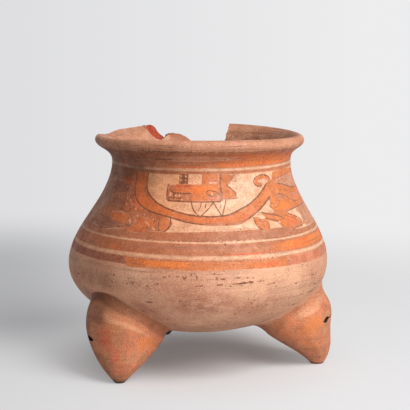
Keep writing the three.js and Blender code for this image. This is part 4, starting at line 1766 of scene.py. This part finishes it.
    def wedge_places(
        self, points: np.ndarray, edge: np.ndarray, reach: tuple[float, float], roughness: float
    ) -> np.ndarray:
        """Moves a cylinder's points onto a rough wedge through the wall.

        Args:
            points: Points of a cylinder of radius 1 from z -1 to 1.
            edge: The wedge's outline: places round the neck, heights from the crest, and slants.
            reach: Radii where the wedge starts and ends.
            roughness: How far its faces are jagged.

        Returns:
            The wedge's points.
        """
        shape = self.shape
        turn = np.arctan2(points[:, 1], points[:, 0]) % FULL_TURN
        spot = np.round(turn / FULL_TURN * len(edge)).astype(int) % len(edge)
        radius = reach[0] + (reach[1] - reach[0]) * (points[:, 2] + 1) / 2
        draw = np.random.default_rng(SEED)
        below = (edge[spot, 1] < 0)[:, None]
        worn = self.is_rubbed(np.degrees(edge[:, 0] / shape.neck_radius))
        jagged = roughness * np.where(worn, self.rubbed_share, 1.0)[:, None]
        coarse = draw.normal(0, 1, (len(edge), 2)) * jagged
        coarse = (coarse + np.roll(coarse, 1, axis=0) + np.roll(coarse, 2, axis=0)) * self.coarse_share
        fine = draw.normal(0, self.fine_share, (len(points), 2)) * jagged[spot]
        flat = edge[spot, :2] + (fine + coarse[spot]) * below
        height = np.minimum(shape.crest_height + flat[:, 1], shape.crest_height - shape.lip_bead)
        through = np.clip((shape.radius_at(height) - radius) / self.slant_depth, 0, 1)
        azimuth = (flat[:, 0] + edge[spot, 2] * through) / shape.neck_radius
        height = shape.crest_height + flat[:, 1] + edge[spot, 3] * through
        return np.stack([radius * np.sin(azimuth), radius * np.cos(azimuth), height], axis=1)


# The legs


def azimuth_place(azimuth: float, radius: float) -> np.ndarray:
    """A place at an azimuth in degrees from the back, turning towards +X."""
    turn = math.radians(azimuth)
    return np.array([radius * math.sin(turn), radius * math.cos(turn)])


@dataclass(frozen=True)
class LegShape:
    """Sizes of one hollow leg: a bulb under the bowl whose cone leans out to a small foot."""

    name: str
    bulb_azimuth: float
    foot_azimuth: float
    bulb_inset: float
    foot_lean: float
    foot_radius: float
    shoulder_radius: float
    slit_azimuth: float
    slit_rise: float
    slit_front: int
    fillet: tuple[float, float]
    soft_azimuth: float
    # Strength and azimuth of the painted shade in the joint with the bowl.
    crease_shade: tuple[float, float]
    slipped_from: float
    # Strength, climb and bearing of a painted highlight along the shoulder.
    ridge_highlight: tuple[float, float, float]
    # Height and strength of the darkening at the foot: dirt, and painted shade at the floor and, on the back
    # leg, under the bowl.
    dirt_and_shade: tuple[float, float]
    patches: dict[str, tuple[Smudge, ...]]
    slit_height: float = 0.0028
    slit_thin: float = 0.3
    girth_radius: float = 0.033
    girth_rise: float = 0.015
    wall: float = 0.0055
    seat_margin: float = 0.003
    ankle: tuple[float, float] = (0.44, 0.3)
    cone_fullness: float = 0.6
    shoulder_fullness: float = 0.45
    shoulder_drop: float = 0.4
    samples: int = 200

    def girth_height(self, bowl: BowlShape) -> float:
        """Height of the widest girth."""
        return bowl.ground_clearance + self.girth_rise

    def radius_at(self, bowl: BowlShape, height: np.ndarray) -> np.ndarray:
        """Outer radius of the leg at heights from the floor to its seat under the bowl."""
        girth = self.girth_height(bowl)
        reach = bowl.belly_radius - self.bulb_inset + self.shoulder_radius
        seat = float(bowl.underside_at(reach)) + self.seat_margin
        rise = seat - girth
        cone = Bezier((
            (self.foot_radius, 0),
            (self.girth_radius * self.ankle[0], girth * self.ankle[1]),
            (self.girth_radius, girth * self.cone_fullness),
            (self.girth_radius, girth),
        )).points(self.samples)
        shoulder = Bezier((
            (self.girth_radius, girth),
            (self.girth_radius, girth + rise * self.shoulder_fullness),
            ((self.girth_radius + self.shoulder_radius) / 2, seat - rise * self.shoulder_drop),
            (self.shoulder_radius, seat),
        )).points(self.samples // 2)
        line = np.vstack([cone, shoulder[1:]])
        return np.interp(height, line[:, 1], line[:, 0])

    def centre_at(self, bowl: BowlShape, height: np.ndarray) -> np.ndarray:
        """Middle of the leg at heights: over the foot at the floor, under the bulb from its girth up."""
        reach = bowl.belly_radius - self.bulb_inset
        bulb = azimuth_place(self.bulb_azimuth, reach)
        foot = azimuth_place(self.foot_azimuth, reach + self.foot_lean)
        climb = np.clip(height / self.girth_height(bowl), 0, 1)
        share = ((1 - climb**2) ** 3)[..., None]
        return bulb * (1 - share) + foot * share


@dataclass(frozen=True)
class RattleLeg:
    """One hollow leg with its luting fillet, chamber and sound slit."""

    leg: LegShape
    bowl: BowlShape
    material: bpy.types.Material
    facets: int = 300
    outer_rows: int = 80
    fillet_rows: int = 12
    chamber_rows: int = 40
    slit_spread: float = 52.0
    slit_fall: float = 0.2
    sunk: float = 0.0006
    floor_radius: float = 0.0092
    row_step: float = 0.001
    crease_spread: float = 42.0
    crease_least: float = 0.36
    crease_from: float = 0.95
    crease_rise: float = 0.06
    crease_fade: float = 3
    highlight_spread: float = 42.0
    highlight_breadth: float = 0.045
    dirt_and_shade_from: float = 0.0005
    joint_search: tuple[float, float, int] = (0.024, 0.08, 560)
    floor_search: tuple[float, float, int] = (0.004, 0.03, 260)
    wobble: HandWobble = HandWobble(waves=14, longest=0.0003)
    true_foot: float = 0.25
    fillet_waves: int = 5
    fillet_unevenness: float = 0.12
    crowding: float = 1.15
    seam: float = 0.0001
    slit_widest: tuple[float, float] = (0.66, 0.24)
    slit_through: float = 0.8
    smooth_angle: float = 40

    def build(self) -> None:
        """Models, cuts and dresses the leg."""
        turns = np.arange(self.facets) / self.facets * FULL_TURN
        rings, crease_shade, chamber = self.rings(turns)
        radii = np.full(len(rings), self.floor_radius)
        radii[[0, -1]] = 0
        line = np.stack([radii, np.arange(len(rings)) * self.row_step], axis=1)
        obj = spun(f"leg_{self.leg.name}_shell", line, self.facets)
        sleeve = places(obj)
        row = np.round(sleeve[:, 2] / self.row_step).astype(int)
        turn = np.arctan2(sleeve[:, 1], sleeve[:, 0])
        column = np.round(turn / FULL_TURN * self.facets).astype(int) % self.facets
        place(obj, rings[row, column])
        set_attribute(obj, "crease_shade", crease_shade[row, column])
        # Marks the chamber, which its material paints near black as shade.
        set_attribute(obj, "chamber", chamber[row])
        climb = np.clip(row / (1 + self.outer_rows + self.fillet_rows), 0, 1)
        self.stain_and_shade(obj, climb, turn, chamber[row] < 0.5)
        cut_away(obj, self.slit_cutter())
        wear(obj, self.material)
        smooth(obj, self.smooth_angle)
        finish_piece(obj, VASE_BODY, Slot.LEG, f"leg_{self.leg.name}")

    def stain_and_shade(self, obj: bpy.types.Object, climb: np.ndarray, turn: np.ndarray, outer: np.ndarray) -> None:
        """Stores where the leg's slip ends, where a painted highlight lies, and where it is stained, dirty
        and darkened with painted shade.

        Args:
            obj: The leg.
            climb: How far up the outside each point lies, from the floor to the joint.
            turn: The points' directions round the leg.
            outer: Whether they lie outside the chamber.
        """
        height = places(obj)[:, 2]
        sheet = Sheet(np.degrees((turn + math.pi / 2 + math.pi) % FULL_TURN - math.pi), height / MILLIMETRE)
        # A pale band on the shoulder under the joint: a painted highlight.
        highlight_strength, highlight_climb, bearing = self.leg.ridge_highlight
        off = (sheet.turned(bearing).bearing / self.highlight_spread) ** 2
        off += ((climb - highlight_climb) / self.highlight_breadth) ** 2
        # Darker towards the foot: dirt, and painted shade at the floor.
        dirt_and_shade_height, dirt_and_shade = self.leg.dirt_and_shade
        set_attribute(obj, "slipped", smoothstep(climb, self.leg.slipped_from, 1.0))
        set_attribute(obj, "ridge_highlight", highlight_strength * np.exp(-off))
        set_attribute(obj, "dirt_and_shade", dirt_and_shade * (1 - smoothstep(height, self.dirt_and_shade_from, dirt_and_shade_height)) * outer)
        for name, zones in self.leg.patches.items():
            set_attribute(obj, name, smudged(sheet, zones))

    def side(self, turns: np.ndarray, height: np.ndarray, inset: float = 0.0) -> np.ndarray:
        """Places on the leg's outside, or on its chamber's wall.

        Args:
            turns: Directions round the leg.
            height: Heights.
            inset: How far within the outside.

        Returns:
            The places.
        """
        centre = self.leg.centre_at(self.bowl, height)
        radius = self.leg.radius_at(self.bowl, height) - inset
        if inset:
            radius = np.maximum(radius, self.floor_radius)
        x, y = centre[..., 0] + radius * np.cos(turns), centre[..., 1] + radius * np.sin(turns)
        return np.stack([x, y, height], axis=-1)

    def joint_height(self, turns: np.ndarray, inset: float = 0.0) -> np.ndarray:
        """Height where the leg's side, or its chamber's wall, meets the bowl in each direction."""
        heights = np.linspace(*self.joint_search)
        grid = np.broadcast_to(heights, (len(turns), len(heights)))
        spots = self.side(turns[:, None], grid, inset)
        reach = np.hypot(spots[..., 0] - self.bowl.shift_at(grid), spots[..., 1])
        return heights[np.argmax(grid > self.bowl.underside_at(reach), axis=1)]

    def rings(self, turns: np.ndarray) -> tuple[np.ndarray, np.ndarray, np.ndarray]:
        """Rings of points up the leg's outside, over the fillet, and down the chamber.

        Args:
            turns: Directions round the leg.

        Returns:
            The places by ring and direction, how much painted shade darkens the leg by its joint with the
            bowl at each, and which rings lie in the chamber.
        """
        joint = self.joint_height(turns)
        softness = 0.5 + 0.5 * np.cos(math.pi / 2 - turns - math.radians(self.leg.soft_azimuth))
        fillet = self.leg.fillet[0] + (self.leg.fillet[1] - self.leg.fillet[0]) * softness
        waves = np.sin(self.fillet_waves * turns + self.leg.bulb_azimuth)
        fillet = fillet * (1 + self.fillet_unevenness * waves)
        outward = np.stack([np.cos(turns), np.sin(turns), np.zeros(len(turns))], axis=1)
        wobble = self.wobble.at(turns + self.leg.bulb_azimuth, joint)[:, None]
        corner = self.side(turns, joint)
        start = self.side(turns, joint - fillet)
        end = self.bowl.on_underside(self.along_bowl(corner, outward, fillet), self.seam)
        clear = np.zeros(len(turns))
        # Painted shade in the joint, darkest and widest towards one azimuth.
        strength, azimuth = self.leg.crease_shade
        off = (90 - np.degrees(turns) - azimuth + 180) % 360 - 180
        peak = np.exp(-((off / self.crease_spread) ** 2))
        sharp = strength * (self.crease_least + (1 - self.crease_least) * peak)
        found = [(self.middle(turns, 0.0), clear, 0.0)]
        for share in np.linspace(0, 1, self.outer_rows):
            push = outward * wobble * min(1.0, share / self.true_foot)
            shade = np.minimum(sharp, 1) * smoothstep(share, self.crease_from - self.crease_rise * peak, 1.0)
            found.append((self.side(turns, (joint - fillet) * share**self.crowding) + push, shade, 0.0))
        for share in np.linspace(0, 1, self.fillet_rows + 1)[1:]:
            curve = (1 - share) ** 2 * start + 2 * share * (1 - share) * corner + share**2 * end
            dark = sharp * min(1.0, (1 - share) * self.crease_fade)
            found.append((curve + outward * wobble * (1 - share), np.minimum(dark, 1), 0.0))
        top = self.joint_height(turns, self.leg.wall)
        found.append((self.bowl.on_underside(end, self.sunk), clear, 0.0))
        found.append((self.bowl.on_underside(self.side(turns, top, self.leg.wall), self.sunk), clear, 1.0))
        floor = self.chamber_floor()
        for share in np.linspace(0, 1, self.chamber_rows + 1)[1:]:
            found.append((self.side(turns, top + (floor - top) * share, self.leg.wall), clear, 1.0))
        found.append((self.middle(turns, floor), clear, 1.0))
        return tuple(np.array(part) for part in zip(*found))

    def middle(self, turns: np.ndarray, height: float) -> np.ndarray:
        """The leg's middle at a height, once for each direction."""
        heights = np.full(len(turns), height)
        return np.concatenate([self.leg.centre_at(self.bowl, heights), heights[:, None]], axis=1)

    def along_bowl(self, spots: np.ndarray, outward: np.ndarray, reach: np.ndarray) -> np.ndarray:
        """Places moved away from the leg along the bowl's skin.

        Args:
            spots: Places where the leg meets the bowl.
            outward: Level directions away from the leg.
            reach: How far to go.

        Returns:
            The moved places, near the bowl.
        """
        turn = np.arctan2(spots[:, 1], spots[:, 0])
        radius = np.hypot(spots[:, 0], spots[:, 1])
        step = 0.0005
        slope = (self.bowl.underside_at(radius + step) - self.bowl.underside_at(radius - step)) / (2 * step)
        normal = np.stack([slope * np.cos(turn), slope * np.sin(turn), -np.ones(len(turn))], axis=1)
        normal /= np.linalg.norm(normal, axis=1)[:, None]
        along = outward - normal * (outward * normal).sum(axis=1)[:, None]
        along /= np.linalg.norm(along, axis=1)[:, None]
        return spots + along * reach[:, None]

    def chamber_floor(self) -> float:
        """Height of the chamber's level floor, where it is just wide enough for the pellets."""
        heights = np.linspace(*self.floor_search)
        radii = self.leg.radius_at(self.bowl, heights) - self.leg.wall
        return float(np.interp(self.floor_radius, radii, heights))

    def slit_cutter(self) -> bpy.types.Object:
        """A flat leaf-shaped blade through the leg's wall."""
        leg = self.leg
        height = self.bowl.ground_clearance + leg.slit_rise
        reach = leg.girth_radius * math.sin(math.radians(self.slit_spread / 2))
        middle = leg.centre_at(self.bowl, np.array(height))
        middle = middle + azimuth_place(leg.slit_azimuth, leg.girth_radius)
        sphere = bpy.ops.mesh.primitive_uv_sphere_add
        obj = added(sphere, f"slit_{leg.name}", segments=64, ring_count=32, radius=1)
        points = places(obj)
        along = points[:, 0] * leg.slit_front
        widest, breadth = self.slit_widest
        full = np.exp(-(((along - widest) / breadth) ** 4))
        thick = leg.slit_height * (leg.slit_thin + (1 - leg.slit_thin) * full)
        across, through = points[:, 0] * reach, points[:, 1] * reach * self.slit_through
        rise = points[:, 2] * thick - along * reach * self.slit_fall
        turn = -math.radians(leg.slit_azimuth)
        x = across * math.cos(turn) - through * math.sin(turn) + middle[0]
        y = across * math.sin(turn) + through * math.cos(turn) + middle[1]
        place(obj, np.stack([x, y, rise + height], axis=1))
        wear(obj, self.material)
        # The slit's cut faces take the chamber's painted shade.
        set_attribute(obj, "chamber", np.ones(len(points)))
        return obj


LEGS = (
    LegShape(
        "front_left", -133.3, -140.5, 0.028, 0.019, 0.004, 0.0245, -101.5, 0.0085, -1, fillet=(0.0018, 0.007),
        soft_azimuth=125, crease_shade=(1.0, -128), slipped_from=0.93, ridge_highlight=(0.85, 0.74, 12), dirt_and_shade=(0.006, 1.0),
        patches={
            "ruddy": smudges((-30, 38, 15, 9, 0.8), (-14, 25, 15, 8, 0.6), (10, 14, 30, 6, 0.6)),
            "amber": smudges((36, 33, 18, 6, 0.95), (-14, 46, 16, 6, 0.6), (-42, 24, 12, 10, 0.5)),
            # Mostly painted shade on the unlit left of the leg and towards its foot.
            "dusky_shade": smudges(
                (-78, 44, 22, 22, 0.85), (-46, 56, 18, 8, 0.9), (-60, 16, 24, 10, 0.7),
                (66, 42, 16, 10, 0.35), (8, 6, 60, 4, 0.5),
            ),
        },
    ),
    LegShape(
        "right", 101, 100, 0.0295, 0.0205, 0.0055, 0.022, 109, 0.0148, 1, fillet=(0.007, 0.012),
        soft_azimuth=-150, crease_shade=(0.0, 0), slipped_from=0.88, ridge_highlight=(0.62, 0.87, 26), dirt_and_shade=(0.003, 0.7),
        patches={
            "ruddy": smudges((40, 24, 24, 7, 0.35), (48, 52, 16, 6, 0.4)),
            "amber": smudges((26, 40, 24, 10, 0.7), (8, 24, 14, 12, 0.6), (-24, 34, 16, 12, 0.5)),
            # Mostly painted shade on the unlit left by the joint.
            "dusky_shade": smudges((-76, 42, 34, 15, 0.9), (-50, 16, 22, 8, 0.6), (20, 6, 60, 5, 0.25)),
        },
        slit_height=0.0033, slit_thin=0.2,
    ),
    LegShape(
        "back", -19, -21.5, 0.032, 0.012, 0.005, 0.024, -19, 0.009, 1, fillet=(0.002, 0.005),
        soft_azimuth=90, crease_shade=(0.7, 180), slipped_from=0.85, ridge_highlight=(0.4, 0.74, 180), dirt_and_shade=(0.022, 0.95),
        patches={
            "ruddy": smudges((-170, 24, 24, 8, 0.7)),
            "amber": smudges((160, 40, 24, 9, 0.7)),
            "dusky_shade": smudges((110, 40, 20, 14, 0.6)),
        },
    ),
)


@dataclass(frozen=True)
class Pellets:
    """The loose clay pellets, one rolled ball copied and turned for each."""

    material: bpy.types.Material
    waves: int = 6
    unevenness: float = 0.02
    fill: float = 0.97
    wave_rate: float = 7
    tumble: tuple[float, float, float] = (0.9, 1.7, 2.3)
    smooth_angle: float = 60

    def build(self) -> None:
        """Models one ball and copies it into each pellet's CAD box."""
        ball = self.rolled_ball()
        for order, node in enumerate(sorted(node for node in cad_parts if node.startswith("pellet_"))):
            side, number = node.removeprefix("pellet_").rsplit("_", 1)
            self.drop(ball, node, f"{side}_pellet_{number}", order)
        bpy.data.objects.remove(ball)

    def rolled_ball(self) -> bpy.types.Object:
        """Models a lumpy ball of diameter 1 about the origin."""
        ball = added(bpy.ops.mesh.primitive_ico_sphere_add, "ball", subdivisions=4, radius=0.5)
        points = places(ball)
        draw = np.random.default_rng(SEED)
        lumps = sum(
            self.unevenness * np.sin(points @ draw.normal(0, self.wave_rate, 3) + draw.uniform(0, FULL_TURN))
            for _ in range(self.waves)
        )
        place(ball, points * (self.fill + lumps)[:, None])
        wear(ball, self.material)
        smooth(ball, self.smooth_angle)
        return ball

    def drop(self, ball: bpy.types.Object, node: str, body: str, order: int) -> None:
        """Copies the ball into a pellet's place.

        Args:
            ball: The ball.
            node: The pellet's CAD node.
            body: The body that it moves with.
            order: Its place in the row of pellets, which sets how far it is turned.
        """
        low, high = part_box(node)
        centre, size = np.array((low + high) / 2), np.array(high - low)
        pellet = ball.copy()
        pellet.data = ball.data.copy()
        pellet.name = f"{body}_ball"
        bpy.context.scene.collection.objects.link(pellet)
        turn = np.array(Euler([order * angle for angle in self.tumble]).to_matrix())
        place(pellet, centre + places(pellet) @ turn.T * size)
        finish_piece(pellet, body, Slot.BARE, node)


# The studio


@dataclass(frozen=True)
class Studio:
    """Pale floor and backdrop, soft light from the right, and the camera of the photograph."""

    camera_place: tuple[float, float, float] = (0.0045, -1.100, 0.29407)
    camera_tilt: float = 8.344
    sensor: float = 36.0
    focal: float = 114.92
    floor_grey: Colour = srgb(210, 209, 209)
    near_glow: float = 0.6
    fan_from: float = 1.1
    backdrop: Colour = srgb(237, 237, 238)
    backdrop_left_shade: Colour = srgb(222, 222, 224)
    floor_shadow_grey: Colour = srgb(178, 179, 182)
    room_white: Colour = srgb(232, 232, 233)
    room_strength: float = 0.3
    floor_size: float = 12
    lamp_size: float = 0.9
    lamp_aim: float = 0.1

    def build(self) -> None:
        """Sets up the floor, the lights, the camera and the view."""
        self.set_camera()
        self.set_floor()
        self.set_room()
        self.set_lamp("key", bearing=44, height=42, distance=1.5, power=27)
        self.set_lamp("fill", bearing=30, height=9, distance=1.7, power=8)
        bpy.context.scene.view_settings.view_transform = "Standard"

    def set_camera(self) -> None:
        """Places the camera."""
        data = bpy.data.cameras.new("camera")
        data.sensor_width = self.sensor
        data.lens = self.focal
        camera = bpy.data.objects.new("camera", data)
        camera.location = self.camera_place
        camera.rotation_euler = (math.radians(90 - self.camera_tilt), 0, 0)
        bpy.context.scene.collection.objects.link(camera)
        bpy.context.scene.camera = camera

    def set_floor(self) -> None:
        """Lays the floor, which the camera sees evenly pale away from the vase, as a glow that also lifts its
        shadow: painted light, with a painted shadow band to the left.
        """
        floor = added(bpy.ops.mesh.primitive_plane_add, "floor", size=self.floor_size)
        material = bpy.data.materials.new("floor")
        material.use_nodes = True
        bench = Bench(material.node_tree)
        shader = material.node_tree.nodes["Principled BSDF"]
        bench.feed(shader, {"Base Color": self.floor_grey, "Roughness": 0.9, "Specular IOR Level": 0.1})
        here = bench.place()
        axes = bench.add("ShaderNodeSeparateXYZ", {0: here}).outputs
        side = self.side(bench, axes["X"], bench.plus(axes["Y"], self.fan_from))
        # A painted shadow: a darker grey band across the floor, to the left.
        low = bench.times(
            bench.spread(axes["Y"], -0.01, 0.145),
            bench.spread(axes["Y"], 0.4, 0.86, 1.0, 0.0),
            bench.spread(side, -0.16, -0.02, 0.95, 0.0),
            bench.spread(side, -0.6, -0.25),
        )
        seen_as = bench.mix(low, self.paper(bench, side), self.floor_shadow_grey)
        glow = bench.add("ShaderNodeEmission", {"Color": seen_as, "Strength": 1.0})
        away = bench.add("ShaderNodeVectorMath", {0: here}, operation="LENGTH").outputs["Value"]
        # The glow is weaker close to the vase but still lifts its shadow: painted light.
        near = bench.spread(away, 0.04, 0.16, 0.12, self.near_glow)
        far = bench.spread(away, 0.28, 0.75, 0.0, 1 - self.near_glow)
        share = bench.times(bench.plus(near, far), self.is_seen(bench))
        mixed = bench.add("ShaderNodeMixShader", {0: share, 1: shader.outputs[0], 2: glow.outputs[0]})
        bench.feed(material.node_tree.nodes["Material Output"], {"Surface": mixed.outputs[0]})
        wear(floor, material)

    def set_room(self) -> None:
        """Fills the shadows from a pale room, which is seen as the paper of the backdrop."""
        world = bpy.data.worlds.new("room")
        world.use_nodes = True
        bench = Bench(world.node_tree)
        seen = self.is_seen(bench)
        away = bench.add("ShaderNodeTexCoord").outputs["Generated"]
        axes = bench.add("ShaderNodeSeparateXYZ", {0: away}).outputs
        paper = self.paper(bench, self.side(bench, axes["X"], axes["Y"]))
        bench.feed(world.node_tree.nodes["Background"], {
            "Color": bench.mix(seen, self.room_white, paper),
            "Strength": bench.spread(seen, 0, 1, self.room_strength, 1.0, ease=False),
        })
        bpy.context.scene.world = world

    def is_seen(self, bench: Bench) -> Socket:
        """Whether the camera sees a place, itself or in a reflection."""
        rays = bench.add("ShaderNodeLightPath").outputs
        return bench.sum("MAXIMUM", rays["Is Camera Ray"], rays["Is Glossy Ray"])

    def side(self, bench: Bench, across: Socket, back: Socket) -> Socket:
        """How far to the right a place lies for its distance back."""
        return bench.sum("DIVIDE", across, bench.sum("MAXIMUM", bench.sum("ABSOLUTE", back), 0.001))

    def paper(self, bench: Bench, side: Socket) -> Socket:
        """The paper's pale grey, a little darker to the left as painted shade."""
        return bench.mix(bench.spread(side, -0.16, 0.12, ease=False), self.backdrop_left_shade, self.backdrop)

    def set_lamp(self, name: str, bearing: float, height: float, distance: float, power: float) -> None:
        """Adds a large square lamp that faces the vase.

        Args:
            name: Its name.
            bearing: Degrees round from the front, to the right.
            height: Degrees above the floor.
            distance: Metres from the vase.
            power: Watts.
        """
        data = bpy.data.lights.new(name, "AREA")
        data.size = self.lamp_size
        data.energy = power
        turn, rise = math.radians(bearing), math.radians(height)
        away = Vector((math.sin(turn) * math.cos(rise), -math.cos(turn) * math.cos(rise), math.sin(rise)))
        lamp = bpy.data.objects.new(name, data)
        lamp.location = away * distance + Vector((0, 0, self.lamp_aim))
        lamp.rotation_mode = "QUATERNION"
        lamp.rotation_quaternion = (-away).to_track_quat("-Z", "Y")
        bpy.context.scene.collection.objects.link(lamp)


def main() -> None:
    """Builds the studio, the vessel, the legs and the pellets."""
    logging.basicConfig(level=logging.INFO, format="%(name)s: %(message)s")
    Studio().build()
    groups = ClayGroups.made()
    bowl = BowlShape()
    broken = BrokenClay(groups).made()
    Vessel(bowl, PaintedSlip(groups).made(), InnerClay(groups).made(), broken).build()
    leg_slip = LegSlip(groups).made()
    for leg in LEGS:
        RattleLeg(leg, bowl, leg_slip).build()
    Pellets(broken).build()


if __name__ == "__main__":
    main()
